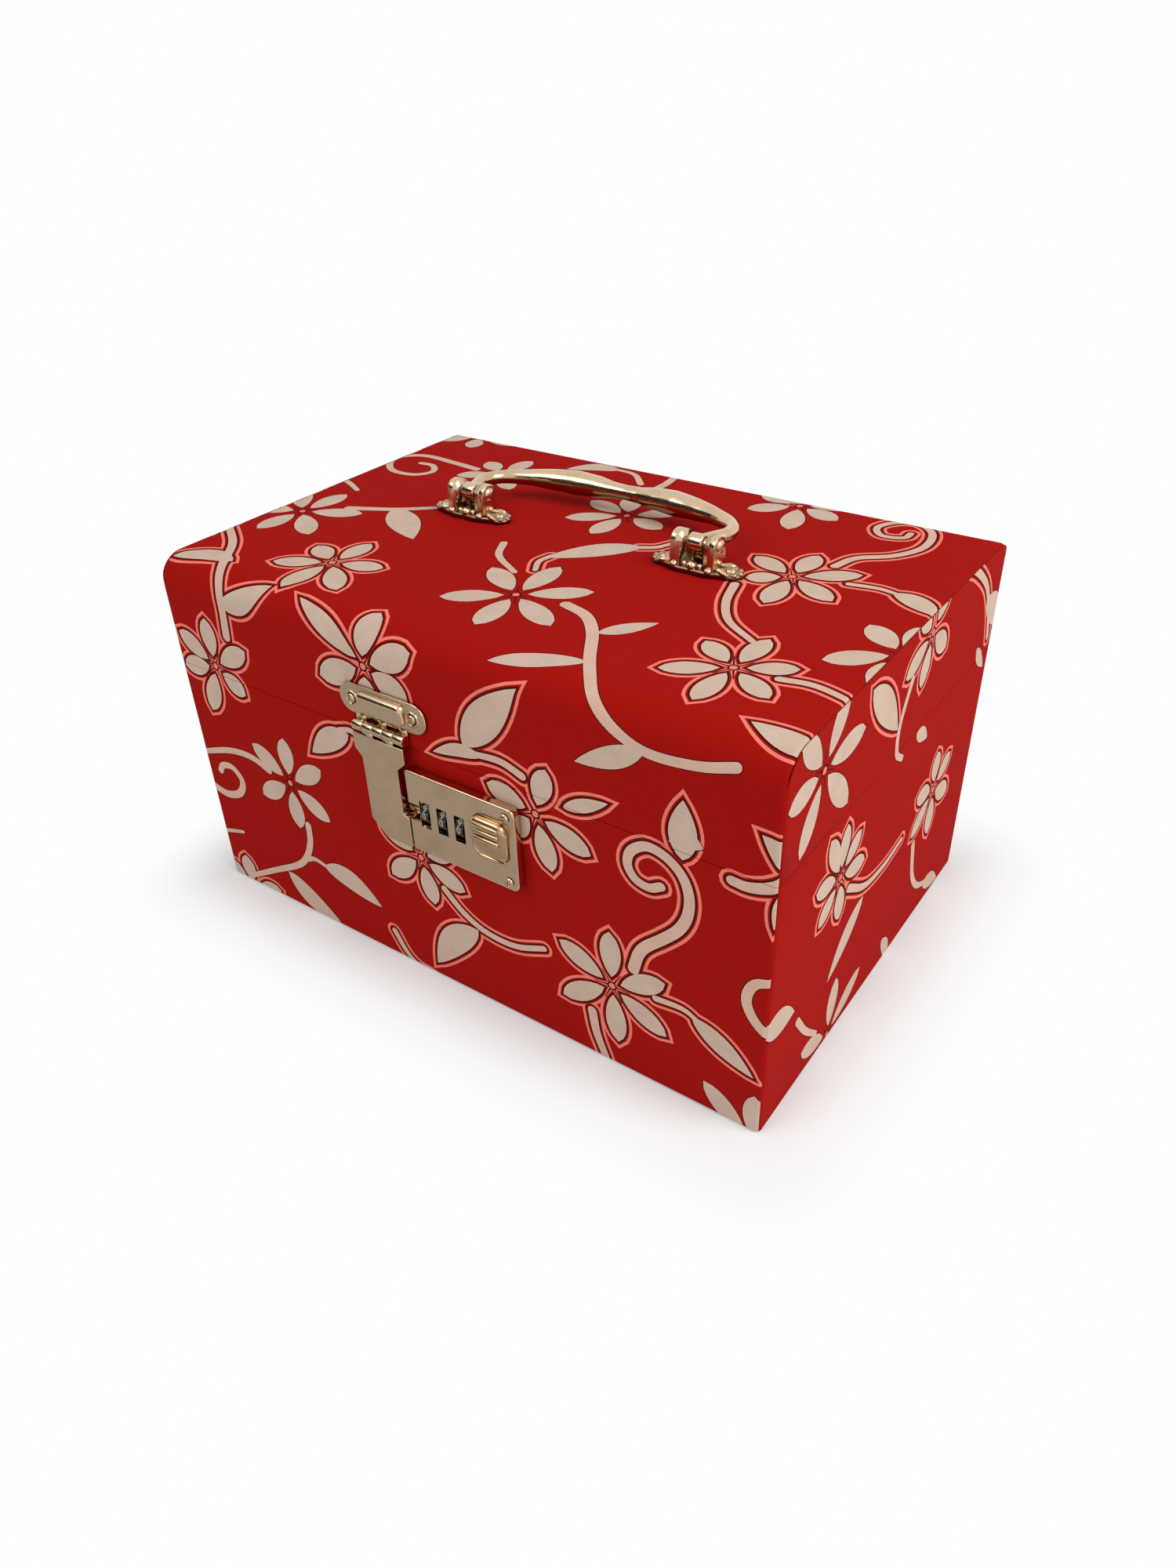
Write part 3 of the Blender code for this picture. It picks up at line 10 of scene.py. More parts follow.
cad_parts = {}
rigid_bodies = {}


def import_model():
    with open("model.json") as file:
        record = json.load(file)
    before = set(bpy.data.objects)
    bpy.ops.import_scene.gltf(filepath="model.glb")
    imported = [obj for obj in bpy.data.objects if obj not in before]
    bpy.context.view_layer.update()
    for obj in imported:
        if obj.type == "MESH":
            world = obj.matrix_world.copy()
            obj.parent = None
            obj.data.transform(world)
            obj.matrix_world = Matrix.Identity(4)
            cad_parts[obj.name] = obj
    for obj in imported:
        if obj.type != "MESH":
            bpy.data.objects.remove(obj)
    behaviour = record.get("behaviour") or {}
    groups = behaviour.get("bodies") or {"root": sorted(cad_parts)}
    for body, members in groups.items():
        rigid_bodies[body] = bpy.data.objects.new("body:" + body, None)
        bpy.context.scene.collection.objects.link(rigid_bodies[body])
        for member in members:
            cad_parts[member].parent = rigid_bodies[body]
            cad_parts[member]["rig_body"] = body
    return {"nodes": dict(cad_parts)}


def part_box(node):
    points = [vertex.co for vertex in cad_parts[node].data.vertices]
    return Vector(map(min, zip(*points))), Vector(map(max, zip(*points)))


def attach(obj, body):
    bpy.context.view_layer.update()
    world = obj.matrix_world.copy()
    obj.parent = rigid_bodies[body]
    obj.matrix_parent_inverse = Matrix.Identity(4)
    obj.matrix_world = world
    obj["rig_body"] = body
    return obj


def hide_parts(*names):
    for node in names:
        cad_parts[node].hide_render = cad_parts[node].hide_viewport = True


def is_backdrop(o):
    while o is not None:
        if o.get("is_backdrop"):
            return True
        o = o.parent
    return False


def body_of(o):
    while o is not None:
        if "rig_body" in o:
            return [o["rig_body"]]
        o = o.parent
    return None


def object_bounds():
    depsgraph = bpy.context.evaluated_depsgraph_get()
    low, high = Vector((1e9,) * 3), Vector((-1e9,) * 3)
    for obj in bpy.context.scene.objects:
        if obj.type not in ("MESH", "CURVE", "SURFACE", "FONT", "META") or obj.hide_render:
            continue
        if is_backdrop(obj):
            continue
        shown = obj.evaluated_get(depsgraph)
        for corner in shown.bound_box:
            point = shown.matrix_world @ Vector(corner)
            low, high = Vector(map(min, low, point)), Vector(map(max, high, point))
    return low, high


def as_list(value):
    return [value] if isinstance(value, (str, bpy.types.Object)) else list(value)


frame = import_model()
cad_low, cad_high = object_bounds()

MM = 0.001


# Studio
# The box stands on a plain white table top under a large soft box, with a weaker one in front,
# and is photographed from its right front corner, from above. A black card to the left of the
# camera and a grey one on the table darken what the bright metal reflects, and are seen nowhere else.

CAMERA_PLACE = Vector((0.2690, -0.3698, 0.3588))
CAMERA_DOWN = math.radians(34.02)
CAMERA_LEFT = math.radians(35.96)
CAMERA_ROLL = math.radians(-1.96)
LENS = 26.19
AIM = Vector((0.0, 0.0, 0.08))
LAMPS = (
    ("soft_box_above", Vector((1.10, 0.00, 1.10)), 14.0, 0.9),
    ("soft_box_front", Vector((-0.55, -1.05, 1.25)), 7.5, 1.0))
WHITE = (1, 1, 1)
FLOOR_SIZE = (12.0, 12.0)
FLOOR_SHADE = 0.86
FOOTPRINT = (0.150, 0.102, 0.0)
SHADOW_REACH = (-0.02, 0.055)
SKY_LIGHT = 0.42
DARK_CARD_PLACE = Vector((-0.75, -1.20, 0.52))
DARK_CARD_SIZE = (2.4, 0.95)
DARK_CARD_SHADE = 0.03
GREY_CARD_PLACE = Vector((-0.25, -0.46, 0.003))
GREY_CARD_SIZE = (0.9, 0.66)
GREY_CARD_SHADE = 0.5


def new_object(name, data):
    made = bpy.data.objects.new(name, data)
    bpy.context.scene.collection.objects.link(made)
    return made


def to_mesh(name, work):
    mesh = bpy.data.meshes.new(name)
    work.to_mesh(mesh)
    work.free()
    return mesh


def facing_box(place):
    """Where a thing stands that is turned towards the box."""
    return Matrix.Translation(place) @ (place - AIM).to_track_quat('Z', 'Y').to_matrix().to_4x4()


def lay_card(name, size, place, finish):
    """A flat card or table top, which isn't part of the box."""
    work = bmesh.new()
    bmesh.ops.create_grid(work, x_segments=1, y_segments=1, size=0.5,
                          matrix=place @ Matrix.Diagonal((*size, 1, 1)))
    card = new_object(name, to_mesh(name, work))
    card.data.materials.append(finish)
    card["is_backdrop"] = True
    return card


def feed(value, socket):
    """Set a node's socket to a number or a colour, or link another socket to it."""
    if isinstance(value, bpy.types.NodeSocket):
        socket.id_data.links.new(value, socket)
    else:
        socket.default_value = (*value, 1) if socket.type == 'RGBA' else value


def add_node(tree, kind, inputs=None, **settings):
    """Add a shader node, set it up and feed its sockets."""
    made = tree.nodes.new("ShaderNode" + kind)
    for name, value in settings.items():
        setattr(made, name, value)
    for name, value in (inputs or {}).items():
        feed(value, made.inputs[name])
    return made


def calc(tree, operation, *values, kind="Math"):
    """What a sum of numbers or of vectors gives."""
    return add_node(tree, kind, dict(enumerate(values)), operation=operation).outputs[0]


def spread(tree, value, low, high, to_low=0.0, to_high=1.0, **settings):
    """A value stretched from one range to another."""
    return add_node(tree, "MapRange", {"Value": value, "From Min": low, "From Max": high,
                                       "To Min": to_low, "To Max": to_high}, **settings).outputs["Result"]


def object_place(tree):
    return add_node(tree, "TexCoord").outputs["Object"]


def seen_ray(tree):
    """One for the rays of the camera, of reflections and of glass, else nought."""
    rays = add_node(tree, "LightPath").outputs
    shown = calc(tree, 'MAXIMUM', rays["Is Camera Ray"], rays["Is Glossy Ray"])
    return calc(tree, 'MAXIMUM', shown, rays["Is Transmission Ray"])


def emptied(owner):
    """The nodes of a material or a world, with none left in them."""
    owner.use_nodes = True
    owner.node_tree.nodes.clear()
    return owner.node_tree


def new_finish(name, roughness, **sockets):
    """Start a material, and give back its tree and its shader."""
    made = bpy.data.materials.new(name)
    made.use_nodes = True
    shader = made.node_tree.nodes["Principled BSDF"]
    for socket, value in {"Roughness": roughness, **sockets}.items():
        feed(value, shader.inputs[socket.replace("_", " ")])
    return made, made.node_tree, shader


data = bpy.data.cameras.new("camera")
data.lens = LENS
camera = new_object("camera", data)
camera.matrix_world = (
    Matrix.Translation(CAMERA_PLACE) @ Matrix.Rotation(CAMERA_LEFT, 4, 'Z')
    @ Matrix.Rotation(math.pi / 2 - CAMERA_DOWN, 4, 'X') @ Matrix.Rotation(CAMERA_ROLL, 4, 'Z'))
bpy.context.scene.camera = camera
for name, place, power, size in LAMPS:
    data = bpy.data.lights.new(name, 'AREA')
    data.energy = power
    data.size = size
    new_object(name, data).matrix_world = facing_box(place)

table_top = bpy.data.materials.new("table_top")
tree = emptied(table_top)
beyond = calc(tree, 'ABSOLUTE', object_place(tree), kind="VectorMath")
beyond = calc(tree, 'SUBTRACT', beyond, FOOTPRINT, kind="VectorMath")
beyond = calc(tree, 'MAXIMUM', beyond, (0, 0, 0), kind="VectorMath")
distance = add_node(tree, "VectorMath", {0: beyond}, operation='LENGTH').outputs["Value"]
far = spread(tree, distance, *SHADOW_REACH, interpolation_type='SMOOTHSTEP')
matt = add_node(tree, "BsdfDiffuse", {"Color": [FLOOR_SHADE] * 3}).outputs[0]
white = add_node(tree, "Emission", {"Color": WHITE, "Strength": 1.0}).outputs[0]
mixed = add_node(tree, "MixShader", {0: calc(tree, 'MULTIPLY', far, seen_ray(tree)), 1: matt, 2: white})
add_node(tree, "OutputMaterial", {"Surface": mixed.outputs[0]})
lay_card("floor", FLOOR_SIZE, Matrix(), table_top)
for name, size, place, shade in (
        ("dark_card", DARK_CARD_SIZE, facing_box(DARK_CARD_PLACE), DARK_CARD_SHADE),
        ("grey_card", GREY_CARD_SIZE, Matrix.Translation(GREY_CARD_PLACE), GREY_CARD_SHADE)):
    card = lay_card(name, size, place, new_finish(name, 1.0, Base_Color=[shade] * 3)[0])
    card.visible_camera = card.visible_diffuse = card.visible_transmission = card.visible_shadow = False

sky = bpy.data.worlds.new("sky")
bpy.context.scene.world = sky
tree = emptied(sky)
strength = spread(tree, seen_ray(tree), 0, 1, SKY_LIGHT, 1.0)
light = add_node(tree, "Background", {"Color": WHITE, "Strength": strength})
add_node(tree, "OutputWorld", {"Surface": light.outputs[0]})
bpy.context.scene.view_settings.view_transform = 'Standard'


# Carcass boards
# Grey-brown pasted board, 6 mm thick, butted and glued into a tray for the base and a hood for
# the lid. The cloth hides nearly all of it; the cut edges show the layers of pulp.

BOARD_COLOUR = (0.40, 0.30, 0.20)
BOARD_PULP = (0.32, 0.24, 0.16)
BOARD_SPECK = (0.22, 0.15, 0.09)
BASE_BOARDS = ["bottom_panel", "front_panel", "rear_panel", "left_panel", "right_panel"]
LID_BOARDS = ["lid_top_panel", "lid_front_rail", "lid_rear_rail", "lid_left_rail", "lid_right_rail"]


def grain(tree, scale, detail=3.0, rough=0.5, where=None):
    """Even cloudy noise, from nought to one."""
    if where is None:
        where = object_place(tree)
    return add_node(tree, "TexNoise", {
        "Vector": where, "Scale": scale, "Detail": detail, "Roughness": rough}).outputs["Fac"]


def between(tree, share, first, second):
    """A colour that goes from the first to the second with the share."""
    return add_node(tree, "Mix", {0: share, 6: first, 7: second}, data_type='RGBA').outputs[2]


def paint(shader, colour):
    feed(colour, shader.inputs["Base Color"])


def relief(shader, height, depth, strength=1.0):
    """Bump of that depth in millimetres."""
    bump = add_node(shader.id_data, "Bump", {"Height": height, "Distance": depth * MM, "Strength": strength})
    feed(bump.outputs["Normal"], shader.inputs["Normal"])


board, tree, shader = new_finish("pasted_board", 0.85)
pulp = grain(tree, 900, 5)
specks = spread(tree, grain(tree, 260, 2), 0.58, 0.72)
paint(shader, between(tree, specks, between(tree, pulp, BOARD_COLOUR, BOARD_PULP), BOARD_SPECK))
relief(shader, pulp, 0.1)
for name in BASE_BOARDS + LID_BOARDS:
    slots = frame["nodes"][name].data.materials
    slots.clear()
    slots.append(board)


# Printed cloth
# Red cotton block-printed with flowers, vines and leaves in pale grey-pink, each with a dark line
# round it and many with a pink contour, glued over the boards and turned in over every rim. The
# patterns are laid out flat in millimetres, cut along the edge of every ink, and wrapped round.

HALF_WIDTH = 150.0
HALF_DEPTH = 102.0
BASE_FOOT = 0.8
BASE_RIM = 121.1
LID_RIM = 121.3
LID_CROWN = 171.0
FRONT_ROUND = 13.0
REAR_ROUND = 8.0
CORNER_ROUND = 2.2
RIM_ROUND = 0.35
TURN_IN = 6.9
TURN_UNDER = 12.0
CLOTH_THICK = 0.3
ROUND_STEPS = 12
CORNER_STEPS = 4
HALF_CORNER = math.pi / 4
CORNER_WRAP = CORNER_ROUND * HALF_CORNER
CORE_X = HALF_WIDTH - CORNER_ROUND
CORE_Y = HALF_DEPTH - CORNER_ROUND
TOP_START = LID_CROWN - FRONT_ROUND + FRONT_ROUND * math.pi / 2
TOP_SHIFT = TOP_START + HALF_DEPTH - FRONT_ROUND
BACK_START = TOP_SHIFT + HALF_DEPTH - REAR_ROUND + REAR_ROUND * math.pi / 2
BACK_SHIFT = BACK_START + LID_CROWN - REAR_ROUND
BACK_REPEATS = (25, -275)
BACK_OVERLAP = 40
WHEEL_MORTISE = ((-6, 90), (19, 90), (19, 100), (-6, 100))
FUSE = 0.0005
NEAR = 0.0001
TINY = 0.01
SHEET_UNIT = 100

INK_CONTOUR, INK_GROUND, INK_LINE, INK_VINE, INK_PETAL, INK_HEART = range(1, 7)
INK_LEVELS = 8
CONTOUR_OUT = 2.7
CONTOUR_IN = 1.45
LINE_OUT = 0.8
FAINT_LINE_OUT = 0.36
MITRE_LIMIT = 2.0
PETAL_SHARE = 0.86
PETAL_STEPS = 9
BLOOM = 0.7
CONTOUR_TIP = 4.4
WIDEST_GAP = 0.75 * math.pi
SEAM_OUT = (1.0, 4.0, 8.5)
SEAM_HALF = 0.42
HEART_OUT = 4.6
HEART_LINE = 2.3
HEART = 1.5
LEAF_STEPS = 12
VINE_STEPS = 5
VINE_SHARE = 0.84
CAP_TURNS = [math.pi * step / 6 for step in range(1, 6)]


def smooth_line(points, steps):
    """A line through the points with the corners rounded off."""
    ends = [2 * points[0] - points[1]] + points + [2 * points[-1] - points[-2]]
    line = []
    for before, start, end, after in zip(ends, ends[1:], ends[2:], ends[3:]):
        for step in range(steps):
            t = step / steps
            line.append(0.5 * (2 * start + (end - before) * t
                               + (2 * before - 5 * start + 4 * end - after) * t * t
                               + (3 * start - before - 3 * end + after) * t ** 3))
    return line + [points[-1]]


def walked(line, index=0, at=0.0):
    """Distances along a line of points, by which the point of that index lies at the given one."""
    reach = [0.0]
    for first, second in zip(line, line[1:]):
        reach.append(reach[-1] + (second - first).length)
    shift = at - reach[index]
    return [here + shift for here in reach]


def petal_width(t):
    return math.sin(math.pi * t ** 1.15) ** 0.62 if 0 < t < 1 else 0.0


def leaf_width(t):
    return math.sin(math.pi * t ** 0.82) ** 0.85 if 0 < t < 1 else 0.0


def vine_width(t):
    return 1 - 0.25 * t


def seam_width(t):
    return 1 - 0.6 * t


def stroke(points, half, width_at):
    """Outline of a shape along a line, with its width at each share of the line."""
    reach = walked(points)
    left, right = [], []
    for index, point in enumerate(points):
        ahead = points[min(index + 1, len(points) - 1)] - points[max(index - 1, 0)]
        across = Vector((-ahead.y, ahead.x)).normalized() * (half * width_at(reach[index] / reach[-1]))
        if across.length < TINY:
            left.append(point)
        else:
            left.append(point + across)
            right.append(point - across)
    return right + left[::-1]


def grow(outline, out):
    """The same outline moved outwards, with pointed corners."""
    area = sum(a.x * b.y - b.x * a.y for a, b in zip(outline, outline[1:] + outline[:1]))
    turn = 1 if area > 0 else -1
    grown = []
    for index, point in enumerate(outline):
        before = (point - outline[index - 1]).normalized()
        after = (outline[(index + 1) % len(outline)] - point).normalized()
        normal = Vector((before.y + after.y, -before.x - after.x))
        if normal.length < TINY:
            normal = before
        normal.normalize()
        lean = max(normal.dot(Vector((before.y, -before.x))), 1 / MITRE_LIMIT)
        grown.append(point + normal * (turn * out / lean))
    return grown


def print_shape(prints, contour, outline, petal=True):
    """Lay down a shape's inks, from its contour inwards."""
    if contour:
        prints.append((INK_CONTOUR, grow(outline, CONTOUR_OUT)))
        prints.append((INK_GROUND, grow(outline, CONTOUR_IN)))
    prints.append((INK_LINE, grow(outline, LINE_OUT if contour else FAINT_LINE_OUT)))
    prints.append((INK_VINE, outline))
    if petal:
        prints.append((INK_PETAL, grow(outline, -BLOOM)))


def vine(prints, contour, width, points):
    line = smooth_line(points, VINE_STEPS)
    half = VINE_SHARE * width / 2
    outline = stroke(line, half, vine_width)
    tips = []
    for point, before, share in ((line[-1], line[-2], vine_width(1)), (line[0], line[1], 1)):
        way = (point - before).normalized() * half * share
        across = Vector((-way.y, way.x))
        tips.append([point + way * math.sin(turn) - across * math.cos(turn) for turn in CAP_TURNS])
    print_shape(prints, contour, outline[:len(line)] + tips[0] + outline[len(line):] + tips[1], False)


def leaf(prints, contour, width, points):
    line = smooth_line(points, LEAF_STEPS // (len(points) - 1))
    print_shape(prints, contour, stroke(line, width / 2, leaf_width))


def ring_points(middle, radius, count=12):
    turn = 2 * math.pi / count
    return [middle + radius * Vector((math.cos(turn * i), math.sin(turn * i))) for i in range(count)]


def flower(prints, contour, half, points):
    """Petals from a small heart to each tip, with fine lines between them."""
    middle, *tips = points
    angles = []
    for tip in tips:
        reach = tip - middle
        start = middle + reach.normalized() * HEART_OUT
        end = middle + reach.normalized() * (reach.length - (CONTOUR_TIP if contour else 0.0))
        line = [start.lerp(end, step / PETAL_STEPS) for step in range(PETAL_STEPS + 1)]
        print_shape(prints, contour, stroke(line, PETAL_SHARE * half, petal_width))
        angles.append(math.atan2(reach.y, reach.x))
    angles.sort()
    for first, second in zip(angles, angles[1:] + [angles[0] + 2 * math.pi]):
        if second - first < WIDEST_GAP:
            way = Vector((math.cos((first + second) / 2), math.sin((first + second) / 2)))
            seam = [middle + way * out for out in SEAM_OUT]
            prints.append((INK_LINE, stroke(seam, SEAM_HALF, seam_width)))
    prints.append((INK_LINE, ring_points(middle, HEART_LINE)))
    prints.append((INK_HEART, ring_points(middle, HEART)))


def print_rows(prints, rows, lift=0.0):
    for shape, contour, width, *row in rows:
        shape(prints, contour, width, [Vector((x, y + lift)) for x, y in zip(row[::2], row[1::2])])


# One row for each print: what it is, with or without a pink contour, its width, and its points as
# x and y in turn. A flower has half its petals' width, then its middle and the tips of its petals.
# The front runs from the foot of the base to the top's front edge, the top is drawn from its own
# middle, and a side, seen from outside, from the middle of its foot.

LINED, PLAIN = True, False
FRONT_PRINTS = (
    (flower, LINED, 6.9, -31, 152, -28, 181, -2, 166, -5, 141, -31, 127, -61, 139),
    (leaf, LINED, 8.5, -34, 155, -51, 164, -69, 172),
    (flower, LINED, 5.7, -125.5, 125.5, -126, 153, -99, 141, -105, 113, -137, 96, -152, 119, -150, 140),
    (flower, PLAIN, 5.7, -90.5, 76, -89.5, 100, -68, 91, -68, 63, -90, 51, -112, 62, -112, 90),
    (flower, LINED, 5.7, -13.5, 66, -39, 78, -36, 46, -8, 38, 14, 56, 9, 79, -17, 90),
    (flower, LINED, 5.7, 50, 113, 57, 139, 79, 102, 57.5, 84, 34, 96, 23, 120),
    (flower, LINED, 5.7, 83, 43, 82, 75, 111, 59, 112, 27, 86, 9, 55, 23, 54, 57),
    (leaf, LINED, 13, 170, 125, 156, 131.5, 142.5, 140.5),
    (vine, LINED, 6.4, 158, 130, 150, 122.5, 144, 119, 138, 117.3, 132.5, 117.5),
    (leaf, LINED, 3.2, 150.3, 118, 149.6, 111, 149.2, 103),
    (flower, LINED, 5.7, -137, -5, -138, 20, -111, 4, -158, 10),
    (flower, PLAIN, 5.7, 148, -8, 125, 15, 147, 20),
    (vine, LINED, 6, 93, 57, 95.5, 66, 99, 71.5, 106, 78.5, 112.5, 86, 116, 94, 116.5, 103, 113.5, 111, 107,
     116.5, 99, 118, 92.5, 113.5, 90.8, 107, 94, 101.5, 100, 100, 105, 102.6),
    (leaf, LINED, 11.5, 113.5, 118, 113.3, 129, 113.2, 143),
    (leaf, PLAIN, 9, 108, 124, 115, 127, 121.5, 126),
    (vine, PLAIN, 4.6, -104, 78, -115, 81.5, -130, 80, -150, 73),
    (vine, PLAIN, 5.4, -158, 57, -150, 54, -140, 52, -130, 56, -126, 64, -131, 70, -138, 69, -141, 65),
    (vine, PLAIN, 4.6, -84, 55, -85, 45, -90, 34, -98, 26, -115, 16, -135, 4),
    (vine, PLAIN, 3.4, -90, 33, -84, 35.5, -76, 34),
    (leaf, PLAIN, 12, -78, 34, -62, 33, -43, 25),
    (leaf, PLAIN, 12, -106, 19, -92, 8, -73, 0),
    (vine, LINED, 4.4, -2, 54, 8, 45, 20, 40, 35, 40, 50, 46),
    (leaf, LINED, 14, 15, 39, 0, 26, -12, 7),
    (vine, LINED, 3.6, 103, 47, 115, 48, 122, 45),
    (leaf, LINED, 9.5, 119, 46, 132, 38, 146, 29),
    (vine, LINED, 5.4, 73, 24, 75, 12, 80, -2, 82, -14),
    (vine, LINED, 4.2, 45, 128, 35, 131, 22, 130),
    (leaf, LINED, 6, 26, 130, 14, 129, 1, 124),
    (leaf, LINED, 15, 17, 132, 28, 146, 44, 164),
    (leaf, LINED, 6, 63, 121, 72, 125, 83, 130),
    (vine, LINED, 3.6, -38, 115, -44, 118.5, -51, 117),
    (leaf, LINED, 11, -46, 116, -58, 110, -71, 99),
    (vine, PLAIN, 6, 28, -48 + TOP_SHIFT, 40, -52 + TOP_SHIFT, 50, -62 + TOP_SHIFT, 60, -78 + TOP_SHIFT, 68,
     178, 76, 168, 87, 160.5, 100, 156.5, 118, 158, 132, 162),
    (leaf, PLAIN, 9, 98, 157, 85, 150, 69, 143),
    (vine, LINED, 5.4, -113, 143, -112, 160, -117, 172, -124, 182, -135, 195, -153, 208),
    (leaf, LINED, 11, -113, 158, -100, 162, -86, 173),
    (vine, LINED, 4, -37, 14, -31, 4, -24, -1, -16, -2),
    (vine, PLAIN, 3, -156, 24, -145, 28, -135, 31),
    (vine, PLAIN, 6, 160, 50, 147, 56, 141, 66, 144, 76, 154, 80),
)
TOP_PRINTS = (
    (flower, PLAIN, 6.2, 6, -51, 5, -20, 31, -33, 34, -66, 9, -80, -19, -68, -19, -35),
    (flower, LINED, 5.2, 107, -59, 108, -29, 131, -46, 131, -74, 106, -90, 81, -75, 85, -44),
    (flower, LINED, 5.7, 90, 20, 90, 49, 117, 38, 117, 5, 92, -12, 71, 7, 64, 33),
    (flower, LINED, 5.7, -80, -66, -80, -38, -53, -58, -55, -88, -82, -98, -107, -80, -103, -54),
    (flower, PLAIN, 6.2, -136, -30, -134, -3, -109, -18, -112, -49, -138, -56, -160, -38, -160, -8),
    (flower, PLAIN, 6.2, 58, 92, 80, 84, 66, 64, 39, 77, 36, 98, 82, 104, 60, 120),
    (flower, PLAIN, 6, -3, 42, -26, 26, -5, 16, 19, 36, 16, 58, -14, 64, -28, 50),
    (flower, PLAIN, 5.6, -88, 58, -105, 69, -86, 81, -106, 45, -66, 66, -70, 42, -88, 34),
    (flower, PLAIN, 6.4, 152, -20, 133, -4, 130, -38, 152, 6, 152, -46),
    (flower, PLAIN, 5.6, -135, 100, -128, 82, -109, 97, -152, 84),
    (vine, LINED, 4.6, 100, 38, 104, 50, 116, 60, 123, 74, 121, 90, 112, 98, 103, 95, 98, 86, 103, 78, 112,
     80, 113, 86),
    (vine, PLAIN, 5, -103, 57, -120, 59, -140, 60, -150, 52, -148, 42, -138, 34, -125, 35, -120, 43, -126,
     50, -134, 50),
    (vine, LINED, 4, 22, 14, 28, 18, 32, 26),
    (vine, LINED, 3.6, -5, -13, -6, -20, -2, -28),
    (vine, PLAIN, 5.4, -120, -16, -100, -6, -84, 6),
    (vine, PLAIN, 4.2, -31, -12, -24, -24, -8, -34),
    (vine, LINED, 4.4, 74, 2, 79, -14, 88, -28, 103, -38),
    (vine, LINED, 4.2, 124, -58, 137, -56, 156, -61),
    (vine, LINED, 3.6, 112, 25, 124, 27, 134, 25),
    (vine, PLAIN, 5.4, -10, 78, -10, 90, -13, 106),
    (vine, PLAIN, 4, -20, 80, -30, 90, -42, 92),
    (vine, PLAIN, 4, -156, 12, -146, 10, -134, 4),
    (vine, PLAIN, 5, -15, 106, -9, 118, 6, 128, 24, 130),
    (leaf, PLAIN, 13, 23, 15, 9, 3, -7, -16),
    (leaf, PLAIN, 8, 52, -62, 60, -52, 67, -43),
    (leaf, PLAIN, 9, 62, -82, 45, -90, 28, -97),
    (leaf, PLAIN, 15, -101, -5, -84, -17, -68, -29),
    (leaf, LINED, 10, 130, 26, 140, 23, 153, 15),
    (leaf, LINED, 10, 158, -93, 142, -90.5, 129, -87.5),
    (leaf, LINED, 10, -118, -87, -132, -87, -148, -95),
    (leaf, PLAIN, 10, -40, 91, -52, 90, -64, 80),
)
SIDE_PRINTS = (
    (flower, PLAIN, 6, -74, 152, -100, 150, -93, 174, -59, 176, -41, 152, -50, 125, -88, 124),
    (flower, LINED, 5.4, 18, 163, 40, 146, 12, 137, -10, 152, 0, 179, 34, 181),
    (flower, LINED, 5.2, -48, 90, -63, 119, -46, 118, -28, 105, -20, 82, -44, 63, -68, 74, -74, 98),
    (flower, LINED, 5.7, 52, 72, 27, 81, 50, 97, 73, 85, 77, 57, 55, 42, 27, 56),
    (flower, PLAIN, 5.7, -42, 2, -39, 32, -12, 17, -68, 14, -24, -20),
    (vine, PLAIN, 4.6, 2, 150, -5, 134, -4, 121, 3, 115),
    (vine, LINED, 4.6, 50, 177, 64, 170, 80, 158, 89, 144, 95, 128),
    (vine, LINED, 4.4, -38, 78, -20, 67, 0, 64, 18, 66),
    (vine, PLAIN, 4.4, -75, 38, -66, 25, -55, 14),
    (vine, PLAIN, 4.8, 36, 52, 42, 31, 52, 18, 66, 11),
    (leaf, LINED, 13, -38, 165, -22, 150, -7, 133),
    (leaf, PLAIN, 11, -20, 62, -35, 50, -49, 37),
    (leaf, PLAIN, 13, -104, 56, -92, 52, -79, 47),
    (leaf, PLAIN, 7, 17, 119, 24, 115, 31, 110),
    (leaf, PLAIN, 13, 84, 150, 96, 142, 110, 128),
    (leaf, PLAIN, 6, 82, 128, 88, 121, 96, 113),
    (leaf, PLAIN, 9, 61, 13, 70, 9, 83, 2),
    (leaf, PLAIN, 7, 12, 14, 18, 6, 22, -6),
)


def rounded(corners, steps):
    """Turn corners (a, b, radius), in order, into a line with arcs. The ends have no radius."""
    line = []
    for index, (a, b, radius) in enumerate(corners):
        here = Vector((a, b))
        if radius <= 0:
            line.append(here)
            continue
        back = (Vector(corners[index - 1][:2]) - here).normalized()
        ahead = (Vector(corners[(index + 1) % len(corners)][:2]) - here).normalized()
        half = back.angle(ahead) / 2
        centre = here + (back + ahead).normalized() * (radius / math.sin(half))
        start = here + back * (radius / math.tan(half)) - centre
        turn = (math.pi - 2 * half) * (1 if ahead.x * back.y - ahead.y * back.x > 0 else -1)
        line += [centre + Matrix.Rotation(turn * step / steps, 2) @ start for step in range(steps + 1)]
    return line


def core(y, z):
    """Nearest point of the flat end panel, inside the rounding of its edges."""
    for side, radius in ((-1, FRONT_ROUND), (1, REAR_ROUND)):
        centre = Vector((side * (HALF_DEPTH - radius), LID_CROWN - radius))
        away = Vector((y, z)) - centre
        if side * away.x > 0 and away.y > 0:
            limit = radius - CORNER_ROUND
            return centre + away * min(1.0, limit / max(away.length, limit))
    return Vector((max(-CORE_Y, min(CORE_Y, y)), min(z, LID_CROWN - CORNER_ROUND)))


